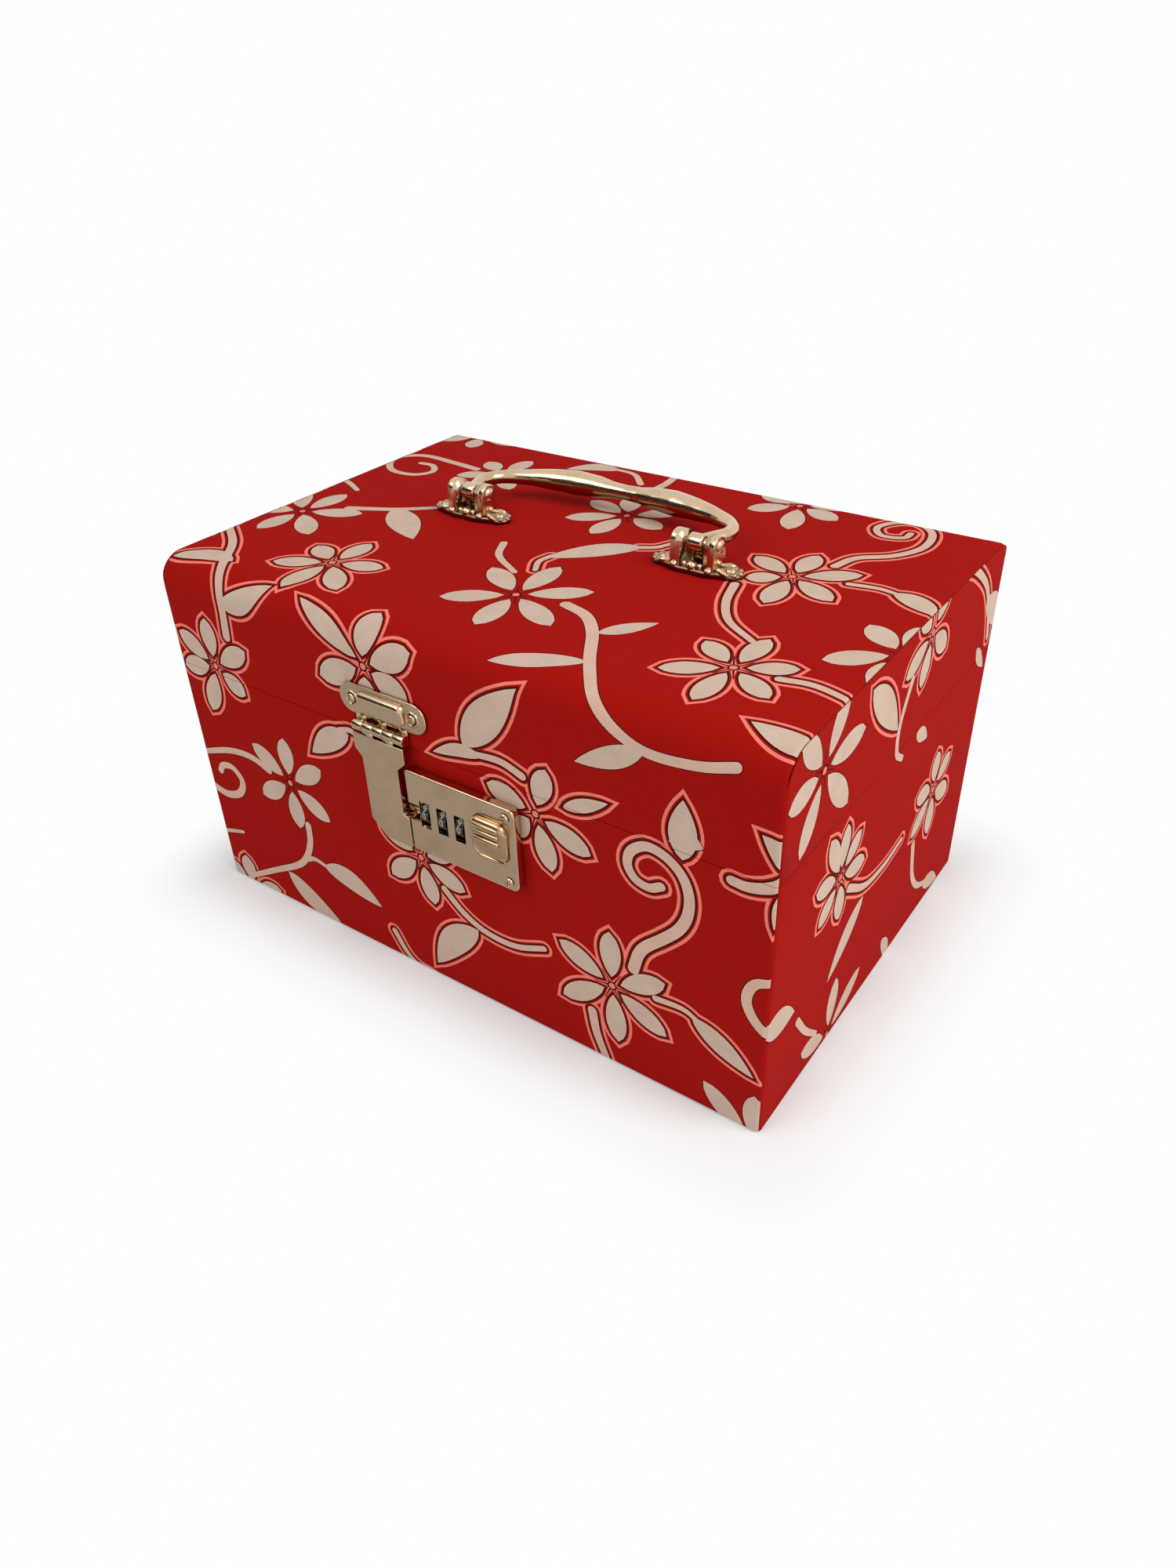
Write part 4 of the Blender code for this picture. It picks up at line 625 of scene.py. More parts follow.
def within(points, outline):
    """Which of the points lie inside an outline."""
    a, b = outline, np.roll(outline, -1, 0)
    x, y = points[:, :1], points[:, 1:]
    side = (b[:, 0] - a[:, 0]) * (y - a[:, 1]) - (x - a[:, 0]) * (b[:, 1] - a[:, 1])
    rising = (a[:, 1] <= y) & (b[:, 1] > y) & (side > 0)
    falling = (a[:, 1] > y) & (b[:, 1] <= y) & (side < 0)
    return rising.sum(1) != falling.sum(1)


def thicken(piece, thickness, offset=-1):
    thick = piece.modifiers.new("thickness", 'SOLIDIFY')
    thick.thickness = thickness * MM
    thick.offset = offset


def cut_cloth(name, prints, edge, creases, lay, holes=()):
    """Cut a flat sheet along its inks and its creases, and lay every point on the box."""
    edge, *holes = (np.array(line) for line in (edge, *holes))
    low, high = edge.min(0) - CONTOUR_OUT, edge.max(0) + CONTOUR_OUT
    shown = [(ink, np.array(outline)) for ink, outline in prints]
    shown = [(ink, corners) for ink, corners in shown
             if (corners.max(0) > low).all() and (corners.min(0) < high).all()]
    verts, edges = [], []
    for closed, lines in ((1, [corners for _, corners in shown] + [edge, *holes]), (0, creases)):
        for line in lines:
            first = len(verts)
            verts += [Vector(point) for point in line]
            edges += [(first + i, first + (i + 1) % len(line)) for i in range(len(line) - 1 + closed)]
    flat, _, faces = delaunay_2d_cdt(verts, edges, [], 0, FUSE, False)[:3]
    flat, faces = np.array(flat), np.array(faces)
    middles = flat[faces].mean(1)
    kept = within(middles, edge)
    for hole in holes:
        kept &= ~within(middles, hole)
    faces, middles = faces[kept], middles[kept]
    level = np.zeros(len(faces), np.int32)
    for ink, corners in shown:
        near = (middles >= corners.min(0)).all(1) & (middles <= corners.max(0)).all(1) & (level < ink)
        near = np.flatnonzero(near)
        if len(near):
            level[near[within(middles[near], corners)]] = ink
    used, order = np.unique(faces, return_inverse=True)
    mesh = bpy.data.meshes.new(name)
    mesh.from_pydata([Vector(lay(*flat[i])) * MM for i in used], [], order.reshape(faces.shape).tolist())
    ink = mesh.attributes.new("ink", 'FLOAT', 'FACE')
    ink.data.foreach_set("value", (level / INK_LEVELS).astype(np.float32))
    sheet_map = mesh.uv_layers.new(name="sheet")
    sheet_map.data.foreach_set("uv", (flat[faces].reshape(-1) / SHEET_UNIT).astype(np.float32))
    mesh.shade_smooth()
    made = new_object(name, mesh)
    thicken(made, CLOTH_THICK)
    return made


def folds(half, core_at, reach):
    """Creases of a sheet: across it where it bends over a rim, and along it at its corners."""
    bends = [core_at + CORNER_WRAP * step / CORNER_STEPS for step in range(CORNER_STEPS)]
    return [[(-half, s), (half, s)] for s in reach[1:-1]] + [
        [(side * u, reach[0]), (side * u, reach[-1])] for side in (-1, 1) for u in bends]


def mirrored(half):
    return half + [(-x, s) for x, s in half[::-1]]


def rim(side, z, into):
    """Corners that turn a strip in under or over a rim, from the inside out."""
    return [(side * (HALF_DEPTH - into), z, 0), (side * CORE_Y, z, 0), (side * HALF_DEPTH, z, RIM_ROUND)]


def glue(piece, body, rests_on, stands_for=()):
    """Finish a glued cover: its cotton and its body, and hide the CAD nodes it stands for. What it rests on
    is not used.
    """
    piece.data.materials.append(cotton)
    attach(piece, body)
    if stands_for:
        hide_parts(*stands_for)
    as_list(rests_on)


def cover_strip(name, corners, at, holes=()):
    """A strip along a line in Y and Z, whose first wall starts at that place of the prints. It is
    drawn in where it turns over a rim, so that the corners meet in mitres."""
    line = rounded(corners, ROUND_STEPS)
    reach = walked(line, 2 + ROUND_STEPS, at)
    ys, zs = [p.x for p in line], [p.y for p in line]
    half = []
    for point, s in zip(line, reach):
        out = (point - core(*point)).length
        mitre = max(0.0, CORE_Y - abs(point.x)) if out < NEAR else 0.0
        half.append((CORE_X + HALF_CORNER * out - mitre, s))

    def lay(x, s):
        point = Vector((np.interp(s, reach, ys), np.interp(s, reach, zs)))
        heart = core(*point)
        out = point - heart
        if abs(x) <= CORE_X or out.length < NEAR:
            return x, *point
        turn = min(HALF_CORNER, (abs(x) - CORE_X) / out.length)
        return math.copysign(CORE_X + out.length * math.sin(turn), x), *(heart + out * math.cos(turn))

    return cut_cloth(name, strip_prints, mirrored(half), folds(HALF_WIDTH, CORE_X, reach), lay, holes)


def cover_side(name, side, corners, at, crowned=False):
    """A side panel, along a path up its wall in insets and heights: its wall is flat, its edges
    bend and its rims turn in. The lid's has a crown that follows the rounded edges of the top."""
    path = rounded(corners, CORNER_STEPS)
    reach = walked(path, 2 + CORNER_STEPS, at)
    insets, heights = [p.x for p in path], [p.y for p in path]

    def lay(u, v):
        inset, z = np.interp(v, reach, insets), np.interp(v, reach, heights)
        if inset > 0:
            out = max(0.0, CORNER_ROUND - inset)
            x, y = HALF_WIDTH - inset, u
            if abs(u) > CORE_Y and out >= NEAR:
                turn = min(HALF_CORNER, (abs(u) - CORE_Y) / out)
                x = CORE_X + out * math.cos(turn)
                y = math.copysign(CORE_Y + out * math.sin(turn), u)
            return side * x, side * y, z
        heart = core(side * u, z)
        away = Vector((side * u, z)) - heart
        turn = min(HALF_CORNER, away.length / CORNER_ROUND)
        spot = heart + away.normalized() * (CORNER_ROUND * math.sin(turn))
        return side * (CORE_X + CORNER_ROUND * math.cos(turn)), *spot

    def crown(out):
        near, far = (FRONT_ROUND, REAR_ROUND) if side > 0 else (REAR_ROUND, FRONT_ROUND)
        across, top = CORE_Y + out, LID_CROWN - CORNER_ROUND + out
        return rounded([(across, at, 0), (across, top, far - CORNER_ROUND + out),
                        (-across, top, near - CORNER_ROUND + out), (-across, at, 0)], ROUND_STEPS)

    outs = [CORNER_ROUND - point.x for point in path]
    right = [(CORE_Y + (HALF_CORNER * out if out > 0 else out), v) for out, v in zip(outs, reach)]
    creases = folds(HALF_DEPTH, CORE_Y, reach)
    edge = mirrored(right)
    if crowned:
        right = right[:-2]
        edge = right + crown(CORNER_WRAP) + [(-u, v) for u, v in right[::-1]]
        creases = creases[:len(path) - 2]
        creases += [crown(CORNER_WRAP * step / CORNER_STEPS) for step in range(CORNER_STEPS)]
    return cut_cloth(name, side_prints, edge, creases, lay)


def shown_colour(*screen):
    """A colour given as it looks on a screen, as light."""
    return tuple((part / 255 / 12.92) if part < 11 else ((part / 255 + 0.055) / 1.055) ** 2.4
                 for part in screen)


GROUND_RED = shown_colour(165, 15, 7)
WORN_RED = (0.25, 0.01, 0.006)
CONTOUR_PINK = shown_colour(246, 134, 116)
LINE_BROWN = shown_colour(62, 12, 8)
VINE_PINK = shown_colour(222, 184, 164)
PETAL_GREY = shown_colour(211, 187, 168)
THREAD = 0.42

cotton, tree, shader = new_finish("printed_cotton", 0.9, Specular_IOR_Level=0.07)
ramp = add_node(tree, "ValToRGB", {"Fac": add_node(tree, "Attribute", attribute_name="ink").outputs["Fac"]})
ramp.color_ramp.interpolation = 'CONSTANT'
stops = ramp.color_ramp.elements
stops.remove(stops[1])
stops[0].color = (*GROUND_RED, 1)
inks = (CONTOUR_PINK, GROUND_RED, LINE_BROWN, VINE_PINK, PETAL_GREY, CONTOUR_PINK)
for level, colour in enumerate(inks, INK_CONTOUR):
    stops.new((level - 0.5) / INK_LEVELS).color = (*colour, 1)
sheet_map = add_node(tree, "UVMap", uv_map="sheet").outputs["UV"]
parted = add_node(tree, "SeparateXYZ", {"Vector": sheet_map})
threads = [calc(tree, 'SINE', calc(tree, 'MULTIPLY', parted.outputs[axis], math.pi * SHEET_UNIT / THREAD))
           for axis in ("X", "Y")]
weave = calc(tree, 'MULTIPLY', *threads)
cloud = grain(tree, 9, 5, 0.6, sheet_map)
drawn = add_node(tree, "Mapping", {"Vector": sheet_map, "Scale": (6, 160, 1)}).outputs["Vector"]
slub = grain(tree, 3, 2, where=drawn)
worn = between(tree, spread(tree, cloud, 0.35, 0.8, 0.0, 0.16), ramp.outputs["Color"], WORN_RED)
for light in (spread(tree, weave, -1, 1, 0.90, 1.06), spread(tree, slub, 0.3, 0.7, 0.94, 1.05)):
    worn = add_node(tree, "HueSaturation", {"Color": worn, "Value": light}).outputs["Color"]
paint(shader, worn)
relief(shader, calc(tree, 'ADD', weave, slub), 0.03, 0.7)

strip_prints, turned_front, side_prints = [], [], []
print_rows(strip_prints, FRONT_PRINTS)
print_rows(strip_prints, TOP_PRINTS, TOP_SHIFT)
print_rows(turned_front, FRONT_PRINTS)
print_rows(side_prints, SIDE_PRINTS)
for ink, outline in turned_front:
    for across in BACK_REPEATS:
        moved = [Vector((across - point.x, BACK_SHIFT - point.y)) for point in outline]
        if min(point.y for point in moved) > BACK_START - BACK_OVERLAP:
            strip_prints.append((ink, moved))

base_front = cover_strip(
    "cover_base_front", rim(-1, BASE_FOOT, TURN_UNDER) + rim(-1, BASE_RIM, TURN_IN)[::-1],
    BASE_FOOT + RIM_ROUND, [WHEEL_MORTISE])
base_back = cover_strip(
    "cover_base_back", rim(1, BASE_RIM, TURN_IN) + rim(1, BASE_FOOT, TURN_UNDER)[::-1],
    BACK_SHIFT - BASE_RIM + RIM_ROUND)
lid_strip = cover_strip(
    "cover_lid_front_top_back",
    rim(-1, LID_RIM, TURN_IN) + [(-HALF_DEPTH, LID_CROWN, FRONT_ROUND), (HALF_DEPTH, LID_CROWN, REAR_ROUND)]
    + rim(1, LID_RIM, TURN_IN)[::-1], LID_RIM + RIM_ROUND)
glue(base_front, "base", ["front_panel", "bottom_panel"], ("base_cloth",))
glue(base_back, "base", ["rear_panel", "bottom_panel"])
glue(lid_strip, "lid", LID_BOARDS[:3], ("lid_cloth",))
base_path = [(TURN_UNDER, BASE_FOOT, 0), (CORNER_ROUND, BASE_FOOT, 0), (0, BASE_FOOT, RIM_ROUND),
             (0, BASE_RIM, RIM_ROUND), (CORNER_ROUND, BASE_RIM, 0), (TURN_IN, BASE_RIM, 0)]
lid_path = [(TURN_IN, LID_RIM, 0), (CORNER_ROUND, LID_RIM, 0), (0, LID_RIM, RIM_ROUND), (0, LID_CROWN, 0)]
for word, side in (("left", -1), ("right", 1)):
    panel = cover_side("cover_base_" + word, side, base_path, BASE_FOOT + RIM_ROUND)
    glue(panel, "base", [word + "_panel", "bottom_panel"])
    panel = cover_side("cover_lid_" + word, side, lid_path, LID_RIM + RIM_ROUND, True)
    glue(panel, "lid", ["lid_%s_rail" % word, "lid_top_panel"])


# Sheet under the floor
# Black leather-grained paper, cut smaller than the floor with its corners rounded, and glued over
# the edges of the cloth that are turned in under the box.

SHEET_BLACK = (0.022, 0.020, 0.018)
SHEET_RUBBED = (0.055, 0.050, 0.046)
SHEET_CORNER = 3.0
EASED_ANGLE = math.radians(32)
MERGE = 0.002
FRONT_LAY = Matrix(((1, 0, 0, 0), (0, 0, -1, 0), (0, 1, 0, 0), (0, 0, 0, 1)))
TOP_LAY = Matrix.Identity(4)


def span(node):
    """A CAD node's lowest and highest corners, in millimetres."""
    low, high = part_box(node)
    return Vector(low) / MM, Vector(high) / MM


def square(low_a, low_b, high_a, high_b, radius=NEAR, steps=1):
    corners = ((low_a, low_b), (high_a, low_b), (high_a, high_b), (low_a, high_b))
    return rounded([(a, b, radius) for a, b in corners], steps)


def round_over(work, edges, width, steps=3, clamp=True):
    bmesh.ops.bevel(work, geom=edges, offset=width, offset_type='OFFSET', segments=steps, profile=0.5,
                    affect='EDGES', material=-1, clamp_overlap=clamp)


def kept_kind(parts, kind):
    return [part for part in parts if isinstance(part, kind)]


def plate(work, outline, low, high, edge=0.0, steps=3, lay=FRONT_LAY, both=False):
    """A plate of that outline from low to high, with the rim of its outer face rounded over, or
    the rims of both."""
    face = work.faces.new([work.verts.new(lay @ Vector((*point, low))) for point in outline])
    lifted = bmesh.ops.extrude_face_region(work, geom=[face])["geom"]
    bmesh.ops.translate(work, verts=kept_kind(lifted, bmesh.types.BMVert),
                        vec=lay.to_3x3() @ Vector((0, 0, high - low)))
    if edge:
        rims = kept_kind(lifted, bmesh.types.BMEdge) + (list(face.edges) if both else [])
        round_over(work, rims, edge, steps)


def as_mesh(name, work):
    """The worked shape, in millimetres, as a mesh in metres."""
    bmesh.ops.scale(work, verts=work.verts, vec=(MM, MM, MM))
    mesh = to_mesh(name, work)
    mesh.shade_smooth()
    return mesh


def make_piece(name, work, finish, body, stands_for=(), eased=0.0, steps=2, turned_out=True):
    """Turn a worked shape into a piece that moves with a body, with its sharp edges eased."""
    if turned_out:
        bmesh.ops.remove_doubles(work, verts=work.verts, dist=MERGE)
        bmesh.ops.recalc_face_normals(work, faces=work.faces)
    made = new_object(name, as_mesh(name, work))
    made.data.materials.append(finish)
    if eased:
        bevel = made.modifiers.new("eased_edges", 'BEVEL')
        bevel.width = eased * MM
        bevel.segments = steps
        bevel.limit_method = 'ANGLE'
        bevel.angle_limit = EASED_ANGLE
        bevel.miter_outer = 'MITER_ARC'
        made.modifiers.new("flats", 'WEIGHTED_NORMAL').keep_sharp = True
    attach(made, body)
    if stands_for:
        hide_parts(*stands_for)
    return made


grained, tree, shader = new_finish("grained_paper", 0.62, Specular_IOR_Level=0.4)
hide = add_node(tree, "TexVoronoi", {"Vector": object_place(tree), "Scale": 900}, feature='SMOOTH_F1')
rubbed = spread(tree, grain(tree, 22, 4, 0.6), 0.5, 0.8)
paint(shader, between(tree, rubbed, SHEET_BLACK, SHEET_RUBBED))
relief(shader, hide.outputs["Distance"], 0.15, 0.8)

low, high = span("bottom_sheet")
work = bmesh.new()
plate(work, square(low.x, low.y, high.x, high.y, SHEET_CORNER, 6), low.z, high.z, lay=TOP_LAY)
sole = make_piece("grained_sheet", work, grained, "base", ("bottom_sheet",), 0.2)
size = (high - low) * MM


# Velvet lining of the base
# Crimson velvet pasted over the floor and up the four walls, cut as one cross so that its corners
# meet in butted seams, with its top edge a little under the rim.

VELVET_RED = (0.150, 0.006, 0.010)
VELVET_DARK = (0.055, 0.002, 0.004)
VELVET_TUFT = (0.23, 0.012, 0.018)
VELVET_SHEEN = (0.95, 0.30, 0.30)
LINING_THICK = 0.7
LINING_BEND = 2.2
LINING_CUTS = (36, 24, 12)
NAP_WAVE = 0.22
WAVE_X = (0.071, 0.05)
WAVE_Y = (0.083, 0.11)


def lined_box(name, low, high, open_side, body, node, rests_on):
    """A soft lining over five sides of a hollow, open above (+1) or below (-1)."""
    work = bmesh.new()
    bmesh.ops.create_cube(work, size=1.0)
    size = high - low - LINING_THICK * Vector((2, 2, 1))
    middle = (low + high) / 2
    middle.z += open_side * LINING_THICK / 2
    bmesh.ops.scale(work, verts=work.verts, vec=size)
    bmesh.ops.translate(work, verts=work.verts, vec=middle)
    mouth = [face for face in work.faces if face.normal.z * open_side > 0.5]
    bmesh.ops.delete(work, geom=mouth, context='FACES')
    round_over(work, [edge for edge in work.edges if not edge.is_boundary], LINING_BEND, 4, False)
    for axis, count in enumerate(LINING_CUTS):
        way = Vector([float(axis == i) for i in range(3)])
        for step in range(1, count):
            bmesh.ops.bisect_plane(work, geom=work.verts[:] + work.edges[:] + work.faces[:],
                                   plane_co=low + (high - low) * (step / count), plane_no=way)
    bmesh.ops.reverse_faces(work, faces=work.faces)
    work.normal_update()
    for vert in work.verts:
        x, y, z = vert.co
        wave = math.sin(x * WAVE_X[0] + z * WAVE_X[1]) * math.sin(y * WAVE_Y[0] + z * WAVE_Y[1])
        vert.co += vert.normal * (NAP_WAVE * (0.5 + 0.5 * wave))
    lining = make_piece(name, work, velvet, body, (node,), turned_out=False)
    thicken(lining, LINING_THICK)
    wide, long, deep = ((end - start) * MM for start, end in zip(low, high))
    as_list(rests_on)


velvet, tree, shader = new_finish("crimson_velvet", 0.92, Specular_IOR_Level=0.12, Sheen_Weight=0.55,
                                  Sheen_Roughness=0.35, Sheen_Tint=VELVET_SHEEN)
brushed = spread(tree, grain(tree, 26, 3, 0.55), 0.35, 0.68)
pile = grain(tree, 2600, 2, 0.7)
shade = between(tree, brushed, VELVET_DARK, VELVET_RED)
paint(shader, between(tree, spread(tree, pile, 0.3, 0.7, 0.0, 0.45), shade, VELVET_TUFT))
relief(shader, calc(tree, 'ADD', pile, brushed), 0.16, 0.6)
lined_box("velvet_lining_base", *span("base_lining"), 1, "base", "base_lining", BASE_BOARDS)


# Cleats for the tray
# Two wooden ledges covered with the same velvet, pinned to the end walls under the tray.

CAD_MERGE = 0.001
FLAT_TURN = math.radians(0.5)


def in_hand(mesh):
    """A mesh in metres as a worked shape in millimetres."""
    work = bmesh.new()
    work.from_mesh(mesh)
    bmesh.ops.scale(work, verts=work.verts, vec=(1 / MM, 1 / MM, 1 / MM))
    return work


def recast(node, finish, slot, eased, steps=2):
    """A merged copy of a CAD node, with its edges eased, to stand for the node."""
    source = frame["nodes"][node]
    work = in_hand(source.data)
    bmesh.ops.remove_doubles(work, verts=work.verts, dist=CAD_MERGE)
    bmesh.ops.dissolve_limit(work, angle_limit=FLAT_TURN, verts=work.verts, edges=work.edges)
    make_piece(slot + "_" + node, work, finish, body_of(source)[0], (node,), eased, steps, False)


recast("tray_cleat_left", velvet, "velvet", 0.5, 3)
recast("tray_cleat_right", velvet, "velvet", 0.5, 3)


# Lock: plate, axle and number wheels
# A pressed sheet with two ears that hold a steel axle, and three blackened wheels that turn on it,
# each with ten pale numbers round its rim and a groove between the numbers.

GILT = (0.66, 0.49, 0.325)
GILT_DEEP = (0.42, 0.27, 0.14)
STEEL = (0.62, 0.60, 0.57)
STEEL_DULL = (0.33, 0.31, 0.28)
BLACK_NICKEL = (0.075, 0.066, 0.060)
NICKEL_WORN = (0.12, 0.10, 0.085)
INK_PALE = (0.40, 0.34, 0.26)
INK_WORN = (0.28, 0.235, 0.175)
NUMBERS = 10
WHEEL_STEPS = 8
GROOVE_DEEP = 0.42
GROOVE_FROM = 0.72
FIGURE_SIZE = 4.3
FIGURE_BOLD = 0.12
FIGURE_PROUD = 0.05
SIDE_LAY = Matrix(((0, 0, 1, 0), (1, 0, 0, 0), (0, 1, 0, 0), (0, 0, 0, 1)))


def make_metal(name, colour, tarnish, roughness, uneven=0.06):
    """Polished or cast metal: a bright body, tarnish in clouds, fine wear and slight waves."""
    made, tree, shader = new_finish(name, roughness, Metallic=1.0)
    cloud = grain(tree, 55, 4, 0.6)
    specks = grain(tree, 900, 2, 0.5)
    aged = between(tree, spread(tree, cloud, 0.45, 0.75, 0.0, 0.55), colour, tarnish)
    paint(shader, between(tree, spread(tree, specks, 0.62, 0.74, 0.0, 0.5), aged, tarnish))
    worn = calc(tree, 'MULTIPLY', cloud, specks)
    feed(spread(tree, worn, 0.1, 0.4, roughness - uneven, roughness + uneven), shader.inputs["Roughness"])
    relief(shader, grain(tree, 140, 3, 0.55), 0.02)
    return made


def middle_of(node):
    return sum(span(node), Vector()) / 2


def settled_mesh(made):
    """The mesh that a curve, a text or a shape with modifiers comes out as."""
    return bpy.data.meshes.new_from_object(made.evaluated_get(bpy.context.evaluated_depsgraph_get()))


def figure(text):
    """One number as a thin mesh, middle on the origin, upright in X and Y."""
    data = bpy.data.curves.new("figure", 'FONT')
    data.body = text
    data.size = FIGURE_SIZE
    data.extrude = FIGURE_PROUD
    data.offset = FIGURE_BOLD
    data.align_x = data.align_y = 'CENTER'
    data.resolution_u = 3
    made = new_object("figure", data)
    mesh = settled_mesh(made)
    bpy.data.objects.remove(made)
    return mesh


def add_in(work, part):
    """Add another worked shape to this one."""
    mesh = to_mesh("part", part)
    work.from_mesh(mesh)
    bpy.data.meshes.remove(mesh)


gilt = make_metal("pale_gilt", GILT, GILT_DEEP, 0.17)
steel = make_metal("bright_steel", STEEL, STEEL_DULL, 0.30)
black_nickel = make_metal("black_nickel", BLACK_NICKEL, NICKEL_WORN, 0.36)
pale_ink, tree, shader = new_finish("pale_ink", 0.6)
paint(shader, between(tree, grain(tree, 700), INK_PALE, INK_WORN))
recast("lock_plate", gilt, "gilt", 0.12)
recast("wheel_axle", steel, "steel", 0.2)

figures = [figure(str(number)) for number in range(NUMBERS)]
for number, letter in ((1, "a"), (2, "b"), (3, "c")):
    node, body = "number_wheel_%d" % number, "number_wheel_" + letter
    low, high = span(node)
    middle = middle_of(node)
    radius = (high.y - low.y) / 2
    outline = []
    for step in range(NUMBERS * WHEEL_STEPS):
        share = abs((step % WHEEL_STEPS) / WHEEL_STEPS - 0.5) * 2
        out = radius - GROOVE_DEEP * max(0.0, share - GROOVE_FROM) / (1 - GROOVE_FROM)
        turn = 2 * math.pi * (step / WHEEL_STEPS - 0.5) / NUMBERS
        outline.append((middle.y + out * math.cos(turn), middle.z + out * math.sin(turn)))
    work = bmesh.new()
    plate(work, outline, low.x, high.x, lay=SIDE_LAY)
    make_piece("black_wheel_%d" % number, work, black_nickel, body, (node,), 0.3)
    work = bmesh.new()
    for place, mesh in enumerate(figures):
        part = bmesh.new()
        part.from_mesh(mesh)
        for vert in part.verts:
            turn = vert.co.y / radius - 2 * math.pi * place / NUMBERS
            out = radius + vert.co.z
            vert.co = (middle.x + vert.co.x, middle.y - out * math.cos(turn), middle.z + out * math.sin(turn))
        add_in(work, part)
    make_piece("wheel_numbers_%d" % number, work, pale_ink, body, turned_out=False)


# Lock: case and its screws
# A die-cast cover, plated pale gold, with three upright windows for the wheels. Two domed screws
# with crossed slots hold it and the plate to the front board.

CASE_WALL = 1.0
CASE_EDGE = 0.9
CASE_ROUND = 3.2
CASE_NEAR_ROUND = 1.2
WINDOW_GAP = Vector((0.6, 3.0, 1.1))
NOTCH_HIGH = 8.0
NOTCH_LONG = 6.2
FOOT_HIGH = 15.5
STEM = 3.8
SLIDE_TRAVEL = 3.0
BOLT_PLAY = 0.4
BOLT_HIGH = 5.0
CUT_PAST = 1
SCREW_RADIUS = 2.1
SCREW_DOME = 1.15
SCREW_SHANK = 1.0
SCREW_LONG = 7.5
SCREW_POINT = 2.0
SCREW_TIP = 0.3
CROSS_WIDE = 0.5
CROSS_LONG = 2.9
CROSS_DEEP = 0.75
CROSS_TOP = 3
CROSS_TURN = 1.13


def block(low, high):
    """A plain block, as a cutter."""
    work = bmesh.new()
    bmesh.ops.create_cube(work, size=1.0)
    bmesh.ops.scale(work, verts=work.verts, vec=Vector(high) - Vector(low))
    bmesh.ops.translate(work, verts=work.verts, vec=(Vector(high) + Vector(low)) / 2)
    return work


def carve(work, *cutters):
    """Cut worked shapes out of a worked shape."""
    bmesh.ops.recalc_face_normals(work, faces=work.faces)
    body = new_object("body", as_mesh("body", work))
    for cutter in cutters:
        bmesh.ops.recalc_face_normals(cutter, faces=cutter.faces)
        tool = new_object("tool", as_mesh("tool", cutter))
        step = body.modifiers.new("carve", 'BOOLEAN')
        step.solver = 'EXACT'
        step.object = tool
        mesh = settled_mesh(body)
        body.modifiers.clear()
        body.data = mesh
        bpy.data.objects.remove(tool)
    carved = in_hand(body.data)
    bpy.data.objects.remove(body)
    return carved


def spun(work, profile, lay, steps=32):
    """Spin a profile of (radius, height) once round an axis, and lay it in place."""
    part = bmesh.new()
    line = [part.verts.new((radius, 0, height)) for radius, height in profile]
    edges = [part.edges.new(pair) for pair in zip(line, line[1:])]
    bmesh.ops.spin(part, geom=line + edges, cent=(0, 0, 0), axis=(0, 0, 1), angle=2 * math.pi, steps=steps,
                   use_merge=True, use_duplicate=False)
    bmesh.ops.remove_doubles(part, verts=part.verts, dist=FUSE)
    bmesh.ops.transform(part, matrix=lay, verts=part.verts)
    add_in(work, part)


def screw_shape():
    """A domed screw, standing up, with two crossed slots."""
    turns = [math.pi / 2 * step / 6 for step in range(7)]
    work = bmesh.new()
    profile = [(0, -SCREW_LONG), (SCREW_TIP, SCREW_TIP - SCREW_LONG),
               (SCREW_SHANK, SCREW_POINT - SCREW_LONG), (SCREW_SHANK, 0), (SCREW_RADIUS, 0)]
    profile += [(SCREW_RADIUS * math.cos(turn), SCREW_DOME * math.sin(turn)) for turn in turns]
    spun(work, profile, TOP_LAY)
    arms = ((CROSS_LONG / 2, CROSS_WIDE / 2), (CROSS_WIDE / 2, CROSS_LONG / 2))
    cutters = [block((-a, -b, SCREW_DOME - CROSS_DEEP), (a, b, CROSS_TOP)) for a, b in arms]
    return as_mesh("screw", carve(work, *cutters))


screw_mesh = screw_shape()


def place_screws(names, lay, turn):
    """Drive screws in where the CAD's stand, each with its slots at another angle."""
    for index, node in enumerate(names):
        low, high = span(node)
        seat = middle_of(node)
        if lay == FRONT_LAY:
            seat.y = low.y + SCREW_DOME
        else:
            seat.z = high.z - SCREW_DOME
        place = Matrix.Translation(seat) @ lay @ Matrix.Rotation(turn + index * CROSS_TURN, 4, 'Z')
        work = bmesh.new()
        work.from_mesh(screw_mesh)
        bmesh.ops.transform(work, matrix=place @ Matrix.Scale(1 / MM, 4), verts=work.verts)
        body = body_of(frame["nodes"][node])[0]
        make_piece("domed_" + node, work, gilt, body, (node,), 0.06, turned_out=False)


low, high = span("lock_case")
case_left, case_front, case_back = low.x, -low.y, high.y
work = bmesh.new()
plate(work, rounded([
    (low.x, low.z, CASE_NEAR_ROUND), (high.x, low.z, CASE_ROUND),
    (high.x, high.z, CASE_ROUND), (low.x, high.z, CASE_NEAR_ROUND)], 6), -case_back, case_front, CASE_EDGE, 4)
cutters = [block(low + CASE_WALL * Vector((1, 1, 1)), high + Vector((-CASE_WALL, 2 * CUT_PAST, -CASE_WALL)))]
for number in (1, 2, 3):
    wheel_low, wheel_high = span("number_wheel_%d" % number)
    cutters.append(block(wheel_low - WINDOW_GAP, wheel_high + WINDOW_GAP))
near, far = low.y - CUT_PAST, case_back + CUT_PAST
notch = low.z + FOOT_HIGH
cutters.append(block((low.x - CUT_PAST, near, notch), (low.x + NOTCH_LONG, far, notch + NOTCH_HIGH)))
stem = middle_of("slide_button")
play = STEM / 2 + BOLT_PLAY
